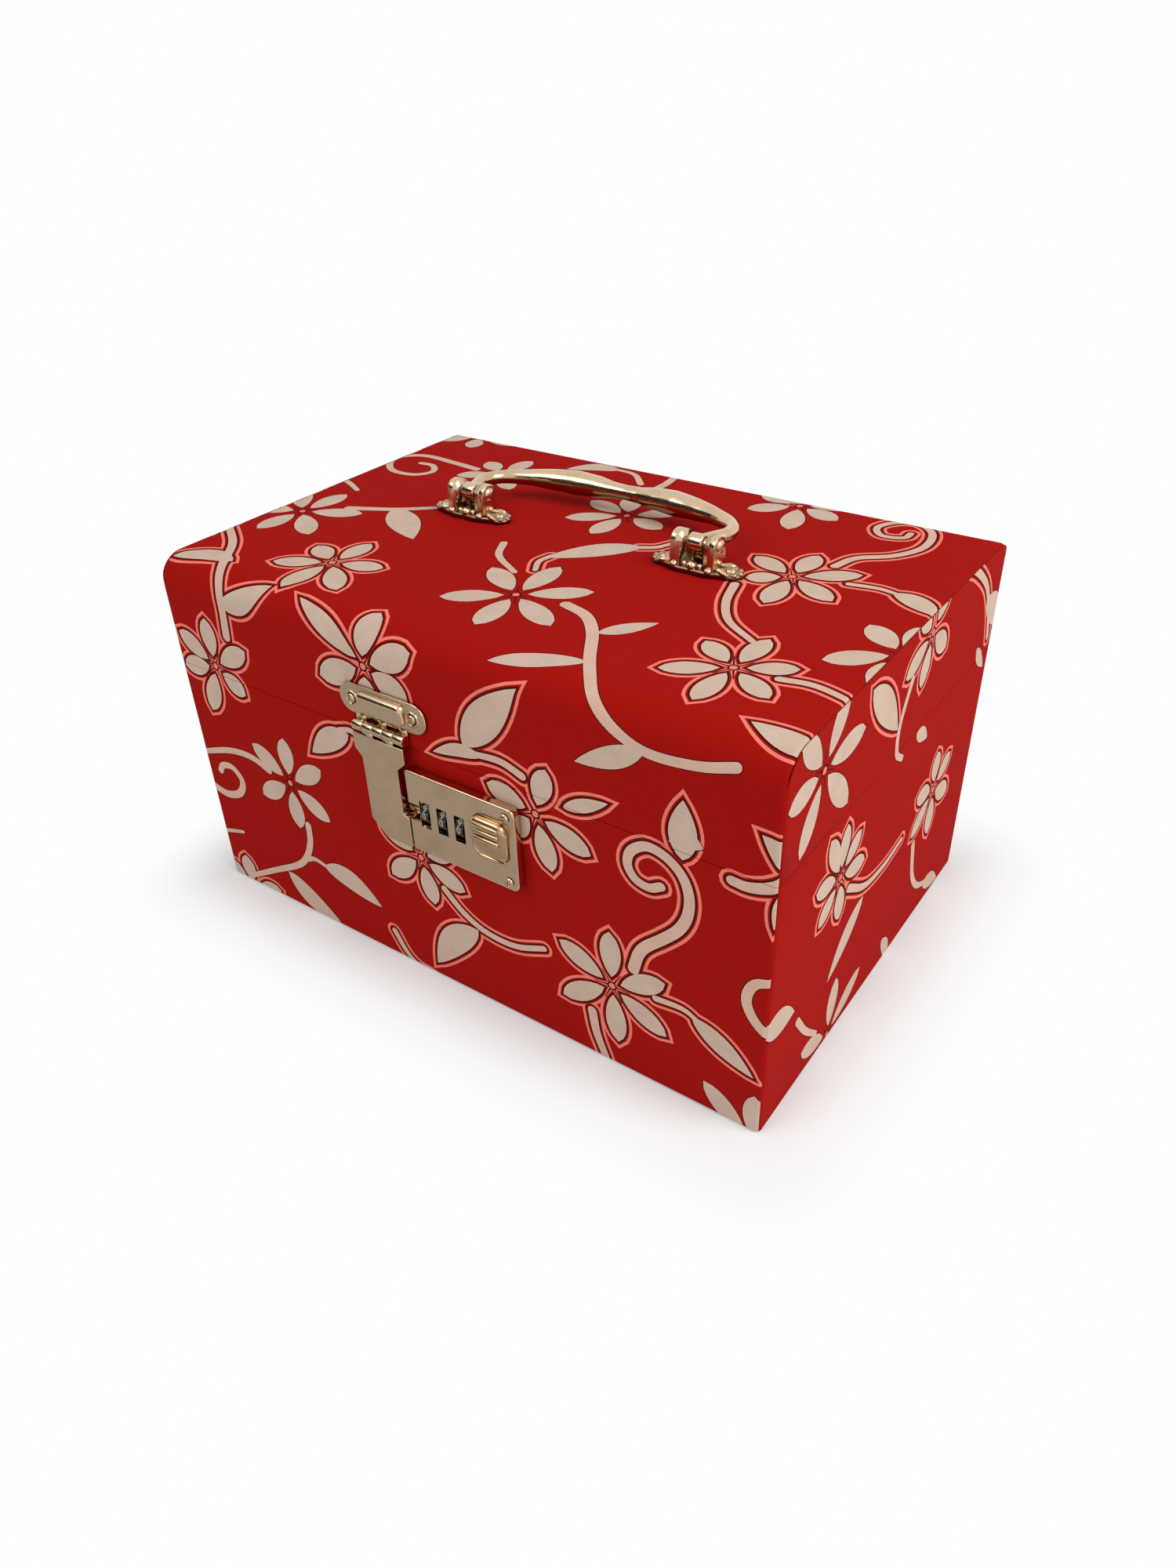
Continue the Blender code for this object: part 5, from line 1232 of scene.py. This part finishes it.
cutters.append(block((stem.x - play - SLIDE_TRAVEL, near, stem.z - play),
                     (stem.x + play, far, stem.z + play)))
bolt_low = span("latch_bolt")[0] - BOLT_PLAY * Vector((1, 1, 1))
bolt_top = bolt_low.z + BOLT_HIGH + 2 * BOLT_PLAY
cutters.append(block((low.x - CUT_PAST, bolt_low.y, bolt_low.z),
                     (low.x + CASE_WALL + BOLT_PLAY, far, bolt_top)))
case = carve(work, *cutters)
make_piece("gilt_lock_case", case, gilt, "base", ("lock_case",), 0.22, turned_out=False)
place_screws(("lock_screw_top", "lock_screw_low"), FRONT_LAY, 0.4)


# Lock: slide and bolt
# A cast thumb piece with three broad ribs across its upper half and a slope below them. It slides
# left over the case and pushes a steel bolt into the hasp's foot.

THUMB_GILT = (0.60, 0.42, 0.24)
THUMB_DEEP = (0.34, 0.20, 0.09)
THUMB_EDGE = 2.3
THUMB_ROUND = 4.4
THUMB_FALL = 2.4
THUMB_GAP = 0.3
SLOPE_FROM = 1.2
SLOPE_BEND = 0.8
RIDGE_RADIUS = 1.15
RIDGE_PITCH = 3.1
RIDGE_SUNK = 0.45
RIDGE_DOWN = 2.9
RIDGE_INSET = 0.6 * THUMB_ROUND
RIDGE_EDGE = 0.7 * RIDGE_RADIUS
RIDGES = 3


def rod(work, y, z, low, high, radius, steps=20, edge=0.0):
    """A round bar along X."""
    plate(work, ring_points(Vector((y, z)), radius, steps), low, high, edge, 3, SIDE_LAY, True)


low, high = span("slide_button")
crown = -low.y - RIDGE_RADIUS
work = bmesh.new()
plate(work, square(low.x, low.z, high.x, high.z, THUMB_ROUND, 8), case_front + THUMB_GAP, crown,
      THUMB_EDGE, 6)
for vert in work.verts:
    if -vert.co.y > case_front + SLOPE_FROM:
        vert.co.y += THUMB_FALL * max(0.0, (stem.z - vert.co.z) / (stem.z - low.z)) ** SLOPE_BEND
for step in range(RIDGES):
    rod(work, RIDGE_SUNK - crown, high.z - RIDGE_DOWN - RIDGE_PITCH * step, low.x + RIDGE_INSET,
        high.x - RIDGE_INSET, RIDGE_RADIUS, 16, RIDGE_EDGE)
add_in(work, block((stem.x - STEM / 2, -case_front - CUT_PAST, stem.z - STEM / 2),
                   (stem.x + STEM / 2, high.y, stem.z + STEM / 2)))
thumb_gilt = make_metal("warm_gilt", THUMB_GILT, THUMB_DEEP, 0.20)
make_piece("gilt_thumb_slide", work, thumb_gilt, "lock_slide", ("slide_button",))
recast("latch_bolt", steel, "steel", 0.15)


# Rear hinges
# Two plated butt hinges with rolled knuckles and a flange that stops the lid past upright, each
# leaf held by three small rivets, on steel pins.

for word in ("left", "right"):
    recast("hinge_leaf_base_" + word, gilt, "gilt", 0.14)
    recast("hinge_leaf_lid_" + word, gilt, "gilt", 0.14)
    recast("hinge_pin_" + word, steel, "steel", 0.2)


# Lid lining, mirror and beading
# The same velvet inside the lid, with a bevelled looking glass on it that a gilt bead holds.

GLASS = (0.90, 0.93, 0.93)
GLASS_DUSTY = (0.74, 0.77, 0.76)

lined_box("velvet_lining_lid", *span("lid_lining"), -1, "lid", "lid_lining", LID_BOARDS)
glass, tree, shader = new_finish("silvered_mirror", 0.02, Metallic=1.0)
dust = spread(tree, grain(tree, 60, 5, 0.7), 0.55, 0.85, 0.0, 0.25)
paint(shader, between(tree, dust, GLASS, GLASS_DUSTY))
feed(spread(tree, dust, 0.0, 0.25, 0.015, 0.06), shader.inputs["Roughness"])
recast("lid_mirror", glass, "silvered_glass", 0.8, 1)
recast("mirror_beading", gilt, "gilt", 0.7, 4)


# Hasp
# A cast plate screwed to the lid by a lobe at each end, with a rolled bar across it and three
# knuckles under it, and the arm that swings on their pin and hangs down over the lock.

PLATE_THICK = 1.2
PLATE_EDGE = 0.5
PLATE_LAP = 1.5
LOBE_ROUND = 0.96
BAR_SHARE = 0.74
BAR_ROUND = 0.6
BAR_PROUD = 2.6
BAR_SUNK = 0.4
BAR_EDGE = 0.98 * BAR_PROUD
KNUCKLES = 5
KNUCKLE_GAP = 0.3
LEAF_SUNK = 0.1
KNUCKLE_EDGE = 0.3
ARM_THICK = 2.2
ARM_EDGE = 0.65
ARM_DROP = 2.8
ARM_INSET = 3.6
ARM_WIDE = 19.0
ARM_ROUND = 1.4
ARM_LAP = 1.0
ARM_TOP_ROUND = 0.4
TAB_SUNK = (0.2, 0.25)
SHOULDER_HIGH = 7.0
SHOULDER_SLOPE = 4.0
BOLT_SOCKET = 5.0
FOOT_CHAMFER = 7.5
FOOT_INSET = 0.7
FOOT_GAP = 0.3
RING_RADIUS = 3.1
RING_GAP = 0.6
RING_PROFILE = ((0.5, -0.6), (0.5, 0), (0.3, 0.4), (-0.1, 0.6), (-0.5, 0.35), (-0.7, 0))

plate_low, plate_high = span("hasp_plate")
arm_low, arm_high = span("hasp_arm")
pin_low, pin_high = span("hasp_pin")
axis = middle_of("hasp_pin")
barrel = arm_high.z - axis.z
back = -plate_high.y
front = back + PLATE_THICK
lobe = (plate_high.z - (axis.z + barrel + PLATE_LAP)) / 2
plate_foot = plate_high.z - 2 * lobe
bar_z = plate_high.z - lobe


def knuckles(work, own):
    """Rolled knuckles of one leaf: the even ones, or the odd ones."""
    pitch = (pin_high.x - pin_low.x + KNUCKLE_GAP) / KNUCKLES
    for index in range(own, KNUCKLES, 2):
        start = pin_low.x + pitch * index
        end = start + pitch - KNUCKLE_GAP
        rod(work, axis.y, axis.z, start, end, barrel, 32, KNUCKLE_EDGE)
        yield start, end


work = bmesh.new()
plate(work, square(plate_low.x, plate_foot, plate_high.x, plate_high.z, lobe * LOBE_ROUND, 10), back, front,
      PLATE_EDGE, 4)
for start, end in knuckles(work, 0):
    plate(work, square(start, axis.z, end, plate_foot + PLATE_LAP), back + LEAF_SUNK, front - LEAF_SUNK)
gap = KNUCKLE_GAP
plate(work, square(pin_low.x + gap, axis.z + barrel + gap, pin_high.x - gap, plate_foot + PLATE_LAP),
      back + 2 * LEAF_SUNK, front - 2 * LEAF_SUNK)
ends = [middle_of("hasp_screw_" + word).x for word in ("left", "right")]
half = lobe * BAR_SHARE
reach = RING_RADIUS + RING_GAP
plate(work, square(ends[0] + reach, bar_z - half, ends[1] - reach, bar_z + half, half * BAR_ROUND, 8),
      front - BAR_SUNK, front + BAR_PROUD, BAR_EDGE, 8)
profile = [(RING_RADIUS + out, front + rise) for out, rise in RING_PROFILE]
profile = [(0, profile[0][1]), *profile, (0, profile[-1][1])]
for end in ends:
    spun(work, profile, Matrix.Translation((end, 0, bar_z)) @ FRONT_LAY)
make_piece("gilt_hasp_plate", work, gilt, "lid", ("hasp_plate",))
recast("hasp_pin", steel, "steel", 0.3)
place_screws(("hasp_screw_left", "hasp_screw_right"), FRONT_LAY, 0.9)

foot_left = arm_low.x + ARM_INSET
foot_right = case_left - FOOT_GAP
foot_top = arm_low.z + FOOT_HIGH
shank = foot_left + ARM_WIDE
top = axis.z - ARM_DROP
shoulder = top - SHOULDER_HIGH
waist = shoulder - SHOULDER_SLOPE
front = -arm_low.y
back = front - ARM_THICK
work = bmesh.new()
plate(work, rounded([
    (foot_left + FOOT_CHAMFER, arm_low.z, ARM_ROUND), (foot_right, arm_low.z, ARM_ROUND),
    (foot_right, foot_top, ARM_ROUND), (shank, foot_top, ARM_ROUND), (shank, waist, ARM_ROUND),
    (arm_high.x, shoulder, ARM_ROUND), (arm_high.x, top, ARM_TOP_ROUND),
    (arm_low.x, top, ARM_TOP_ROUND), (arm_low.x, shoulder, ARM_ROUND), (foot_left, waist, ARM_ROUND),
    (foot_left, arm_low.z + FOOT_CHAMFER, ARM_ROUND)], 5), back, front, ARM_EDGE, 4)
low_x, high_x = foot_left + FOOT_INSET, foot_right - FOOT_INSET
low_z, high_z = arm_low.z + FOOT_INSET, foot_top - FOOT_INSET
foot = bmesh.new()
plate(foot, rounded([
    (low_x + FOOT_CHAMFER, low_z, ARM_ROUND), (high_x, low_z, ARM_ROUND), (high_x, high_z, ARM_ROUND),
    (low_x, high_z, ARM_ROUND), (low_x, low_z + FOOT_CHAMFER, ARM_ROUND)], 4),
      -case_back, front - ARM_THICK / 2)
socket = (foot_right - BOLT_SOCKET, *bolt_low.yz), (foot_right + CUT_PAST, case_back + CUT_PAST, bolt_top)
work = carve(work, block(*socket))
add_in(work, carve(foot, block(*socket)))
for start, end in knuckles(work, 1):
    plate(work, square(start, top - ARM_LAP, end, axis.z), back + TAB_SUNK[0], front - TAB_SUNK[1])
make_piece("gilt_hasp_arm", work, gilt, "hasp", ("hasp_arm",))


# Handle lugs
# Two die-cast lugs with a scalloped foot, a rosette round each screw, a leaf either side and two
# cheeks with a ball at the outer end of the pin, screwed through the cloth into the top board.

LOBES = 10
LOBE_SHARE = 0.07
FOOT_STEPS = 12 * LOBES
FOOT_THICK = 2.2
FOOT_EDGE = 1.1
ROSETTE_RADIUS = 5.0
ROSETTE_HIGH = 3.0
ROSETTE_RIM = ((0.35, 0), (0.7, 0.7), (1.2, 0.8), (1.6, 0.1))
ROSETTE_EDGE = ((-0.6, 1.9), (0, 1.2), (0, 0.6))
PETALS = 8
PETAL_PLACE = (ROSETTE_RADIUS - 0.9, 0, 1.75)
PETAL_SIZE = (1.05, 1.25, 0.95)
CHEEK_GAP = 11.2
CHEEK_THICK = 4.6
CHEEK_RADIUS = 4.3
CHEEK_ROUND = 0.95 * CHEEK_RADIUS
CHEEK_FOOT = 11.0
CHEEK_FOOT_ROUND = 0.5
CHEEK_EDGE = 1.5
PIN_BALL = (1.3, 2.9, 2.9)
BALL_OUT = 0.1
LEAF_PLACE = (2.2, 3.3)
LEAF_LEAN = 0.42
LEAF_SIZE = (3.6, 1.5, 1.5)
BEAD = 1.7
APRON_BALL = 2.3
APRON_IN = 0.9
APRON_UP = 0.6
DROP_SIZE = (1.4, 1.4, 2.2)
DROP_OUT = 3.6
DROP_IN = 1.2
# A darker colour towards the lugs' foot, and the heights over the seat between which it fades out.
LUG_FOOT_DARK = (0.13, 0.075, 0.04)
LUG_DARK = (1.4, 3.8)


def ball(work, middle, size, lay=TOP_LAY, segments=16):
    """A ball, or an egg, of those half sizes."""
    place = Matrix.Translation(middle) @ lay @ Matrix.Diagonal((*size, 1))
    bmesh.ops.create_uvsphere(work, u_segments=segments, v_segments=segments // 2, radius=1.0, matrix=place)


def leave_patina(made, seat, heights, low_colour):
    """A darker colour low down on a casting: full below the first height over its seat, and
    gone at the second."""
    tree = made.node_tree
    shader = tree.nodes["Principled BSDF"]
    height = add_node(tree, "SeparateXYZ", {"Vector": object_place(tree)}).outputs["Z"]
    low, high = ((seat + rise) * MM for rise in heights)
    share = spread(tree, height, low, high, 0.9, 0.0)
    paint(shader, between(tree, share, shader.inputs["Base Color"].links[0].from_socket, low_colour))


def make_lug(word, screws):
    node = "handle_lug_" + word
    low, high = span(node)
    x, y, _ = middle_of(node)
    seat = low.z
    top = seat + FOOT_THICK
    foot = []
    for step in range(FOOT_STEPS):
        turn = 2 * math.pi * step / FOOT_STEPS
        swell = 1 - LOBE_SHARE * (1 - math.cos(LOBES * turn)) / 2
        foot.append((x + (high.x - low.x) / 2 * swell * math.cos(turn),
                     y + (high.y - low.y) / 2 * swell * math.sin(turn)))
    work = bmesh.new()
    plate(work, foot, seat, top, FOOT_EDGE, 3, TOP_LAY)
    dish = ROSETTE_HIGH - SCREW_DOME
    rosette = [(SCREW_RADIUS + out, dish + rise) for out, rise in ROSETTE_RIM]
    rosette += [(ROSETTE_RADIUS + out, rise) for out, rise in ROSETTE_EDGE]
    rosette = [(0, dish), *rosette, (0, rosette[-1][1])]
    for name in screws:
        heart = Matrix.Translation((*middle_of(name).xy, seat))
        spun(work, rosette, heart)
        for petal in range(PETALS):
            spin = Matrix.Rotation(2 * math.pi * petal / PETALS, 4, 'Z')
            ball(work, heart @ spin @ Vector(PETAL_PLACE), PETAL_SIZE, spin, 12)
    cheek_foot = top - FOOT_THICK / 2
    cheek = rounded([
        (y - CHEEK_FOOT / 2, cheek_foot, CHEEK_FOOT_ROUND),
        (y + CHEEK_FOOT / 2, cheek_foot, CHEEK_FOOT_ROUND),
        (y + CHEEK_RADIUS, high.z, CHEEK_ROUND), (y - CHEEK_RADIUS, high.z, CHEEK_ROUND)], 9)
    pin = middle_of("handle_pin_" + word)
    for side in (-1, 1):
        near = x + side * CHEEK_GAP / 2
        far = near + side * CHEEK_THICK
        plate(work, cheek, near, far, CHEEK_EDGE, 5, SIDE_LAY)
        ball(work, (far + side * BALL_OUT, *pin.yz), PIN_BALL, segments=20)
        for lean in (-1, 1):
            turn = Matrix.Rotation(side * lean * LEAF_LEAN, 4, 'Z')
            ball(work, (far + side * LEAF_PLACE[0], y + lean * LEAF_PLACE[1], top), LEAF_SIZE, turn)
    bead_x = CHEEK_GAP / 2 + CHEEK_THICK / 2
    reach = (high.y - low.y) / 2 - BEAD
    for across, along in ((-1, -1), (1, -1), (-1, 1), (1, 1)):
        ball(work, (x + across * bead_x, y + along * reach, top), [BEAD] * 3)
    ball(work, (x, y - reach + APRON_IN, top + APRON_UP), [APRON_BALL] * 3, segments=20)
    for side in (-1, 1):
        ball(work, (x + side * DROP_OUT, y - reach + DROP_IN, top), DROP_SIZE)
    make_piece("gilt_lug_" + word, work, cast_gilt, "lid", (node,))
    recast("handle_pin_" + word, steel, "steel", 0.2)


cast_gilt = make_metal("cast_gilt", GILT, GILT_DEEP, 0.19)
lug_seat = span("handle_lug_left")[0].z
# The lugs are painted darker towards their foot.
leave_patina(cast_gilt, lug_seat, LUG_DARK, LUG_FOOT_DARK)
lug_screws = ["lug_screw_%d" % number for number in (1, 2, 3, 4)]
make_lug("left", lug_screws[:2])
make_lug("right", lug_screws[2:])
place_screws(lug_screws, TOP_LAY, 0.2)


# Bail of the handle
# One cast bow, plated and polished: round arms that bend outwards from the knuckles, and a grip
# that swells on both sides of a slender waist. A heel on each knuckle stops it just above level.

LUG_SPAN = 117.5
BAIL_REACH = 37.5
BAIL_OUTWARD = 5.3
BAIL_DROOP = math.radians(3)
ARM_RADIUS = 3.0
GRIP_RADIUS = 5.5
WAIST_RADIUS = 3.3
KNUCKLE_RADIUS = 3.7
KNUCKLE_WIDE = 6.6
KNUCKLE_EASE = 0.7
COLLAR_RADIUS = 2.0
COLLAR_GAP = 0.3
COLLAR_EASE = 0.3
HEEL_WIDE = 4.4
HEEL_DEEP = 2.8
HEEL_ROUND = 0.6
HEEL_GAP = 0.3
# Painted shade on the bail's underside: its colour, and the heights under and over the pins between which it
# fades out.
BAIL_PAINTED_SHADE = (0.26, 0.20, 0.085)
BAIL_SHADE_HEIGHTS = (-3.2, 0.4)
BAIL_SHARES = (
    (1.00, 0.00, 0.00, ARM_RADIUS), (1.00, 0.55, 0.19, ARM_RADIUS), (1.00, 1.00, 0.41, ARM_RADIUS),
    (1.00, 0.40, 0.64, ARM_RADIUS), (0.85, 0.00, 0.83, 3.6), (0.64, 0.00, 0.93, 4.8),
    (0.44, 0.00, 0.982, GRIP_RADIUS), (0.25, 0.00, 1.00, 4.8), (0.12, 0.00, 1.00, 3.6),
    (0.00, 0.00, 1.00, WAIST_RADIUS))

pins = [middle_of("handle_pin_" + word) for word in ("left", "right")]
heart = (pins[0] + pins[1]) / 2
path = [(LUG_SPAN / 2 * across + BAIL_OUTWARD * bulge, BAIL_REACH * reach, radius)
        for across, bulge, reach, radius in BAIL_SHARES]
path += [(-x, y, radius) for x, y, radius in path[-2::-1]]
data = bpy.data.curves.new("bow", 'CURVE')
data.dimensions = '3D'
data.resolution_u = 10
data.bevel_depth = ARM_RADIUS
data.bevel_resolution = 8
data.use_fill_caps = True
line = data.splines.new('BEZIER')
line.bezier_points.add(len(path) - 1)
for point, (x, y, radius) in zip(line.bezier_points, path):
    point.co = (heart.x + x, heart.y + y * math.cos(BAIL_DROOP), heart.z - y * math.sin(BAIL_DROOP))
    point.radius = radius / ARM_RADIUS
    point.handle_left_type = point.handle_right_type = 'AUTO'
bow = new_object("bow", data)
work = bmesh.new()
work.from_mesh(settled_mesh(bow))
bpy.data.objects.remove(bow)
for x, y, z in pins:
    half, collar = KNUCKLE_WIDE / 2, CHEEK_GAP / 2 - COLLAR_GAP
    rod(work, y, z, x - half, x + half, KNUCKLE_RADIUS, 32, KNUCKLE_EASE)
    rod(work, y, z, x - collar, x + collar, COLLAR_RADIUS, 24, COLLAR_EASE)
    heel = square(x - HEEL_WIDE / 2, y, x + HEEL_WIDE / 2, y + HEEL_DEEP, HEEL_ROUND, 3)
    plate(work, heel, lug_seat + FOOT_THICK + HEEL_GAP, z, lay=TOP_LAY)
bail_gilt = make_metal("bail_gilt", GILT, GILT_DEEP, 0.15)
# Painted shade: the bail is painted darker below its pins, for the shade and dark reflections on its
# underside.
leave_patina(bail_gilt, heart.z, BAIL_SHADE_HEIGHTS, BAIL_PAINTED_SHADE)
make_piece("gilt_bail", work, bail_gilt, "handle", ("handle_bail",))


# Tray
# A lift-out tray of thin board with lapped dividers, all covered with the velvet, that rests on
# the cleats. A silk ribbon folded into a tab at each end lifts it out.

RIBBON_GOLD = (0.42, 0.25, 0.07)
RIBBON_LIGHT = (0.62, 0.40, 0.14)
RIBBON_DARK = (0.30, 0.16, 0.04)
RIBBON_THICK = 0.25
RIBBON_FOLD = 0.32
RIBBON_RIB = 0.5
RIBBON_INSET = 0.15
RIBBON_LIFT = 0.4
RIBBON_BULGE = 0.1
RIBBON_STEPS = 10
RIBBON_CUTS = 8

recast("tray_shell", velvet, "velvet", 0.0)
for word in ("long", "left", "right"):
    recast("tray_divider_" + word, velvet, "velvet", 0.5, 3)

silk, tree, shader = new_finish("silk_ribbon", 0.42, Specular_IOR_Level=0.5, Sheen_Weight=0.3)
height = add_node(tree, "SeparateXYZ", {"Vector": object_place(tree)}).outputs["Z"]
ribs = calc(tree, 'SINE', calc(tree, 'MULTIPLY', height, 2 * math.pi / (RIBBON_RIB * MM)))
tone = between(tree, spread(tree, ribs, -1, 1), RIBBON_GOLD, RIBBON_LIGHT)
drawn = add_node(tree, "Mapping", {"Vector": object_place(tree), "Scale": (1, 12, 1)}).outputs["Vector"]
threads = grain(tree, 700, 2, where=drawn)
paint(shader, between(tree, spread(tree, threads, 0.4, 0.7, 0.0, 0.4), tone, RIBBON_DARK))
relief(shader, ribs, 0.06, 0.8)

for word, side in (("left", -1), ("right", 1)):
    node = "tray_pull_" + word
    low, high = span(node)
    near, far = (high.x, low.x) if side > 0 else (low.x, high.x)
    back, front = near - side * RIBBON_INSET, far + side * RIBBON_INSET
    foot, fold = low.z + RIBBON_LIFT, high.z - RIBBON_FOLD
    shares = [step / RIBBON_STEPS for step in range(RIBBON_STEPS + 1)]
    heights = [foot + (fold - foot) * share for share in shares]
    bulges = [side * RIBBON_BULGE * math.sin(math.pi * share) for share in shares]
    line = [Vector((back, low.y, z)) for z in heights]
    line.append(Vector(((back + front) / 2, low.y, high.z - RIBBON_INSET)))
    line += [Vector((front + out, low.y, z)) for out, z in zip(bulges[::-1], heights[::-1])]
    work = bmesh.new()
    verts = [work.verts.new(point) for point in line]
    edges = [work.edges.new(pair) for pair in zip(verts, verts[1:])]
    for step in range(RIBBON_CUTS):
        grown = bmesh.ops.extrude_edge_only(work, edges=edges)["geom"]
        bmesh.ops.translate(work, verts=kept_kind(grown, bmesh.types.BMVert),
                            vec=(0, (high.y - low.y) / RIBBON_CUTS, 0))
        edges = [part for part in kept_kind(grown, bmesh.types.BMEdge)
                 if abs(part.verts[0].co.y - part.verts[1].co.y) < TINY]
    tab = make_piece("ribbon_tab_" + word, work, silk, "tray", (node,), turned_out=False)
    thicken(tab, RIBBON_THICK, 0)
    walked(line)[-1] * MM

low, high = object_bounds()
{"cad": [list(cad_low), list(cad_high)], "visual": [list(low), list(high)]}
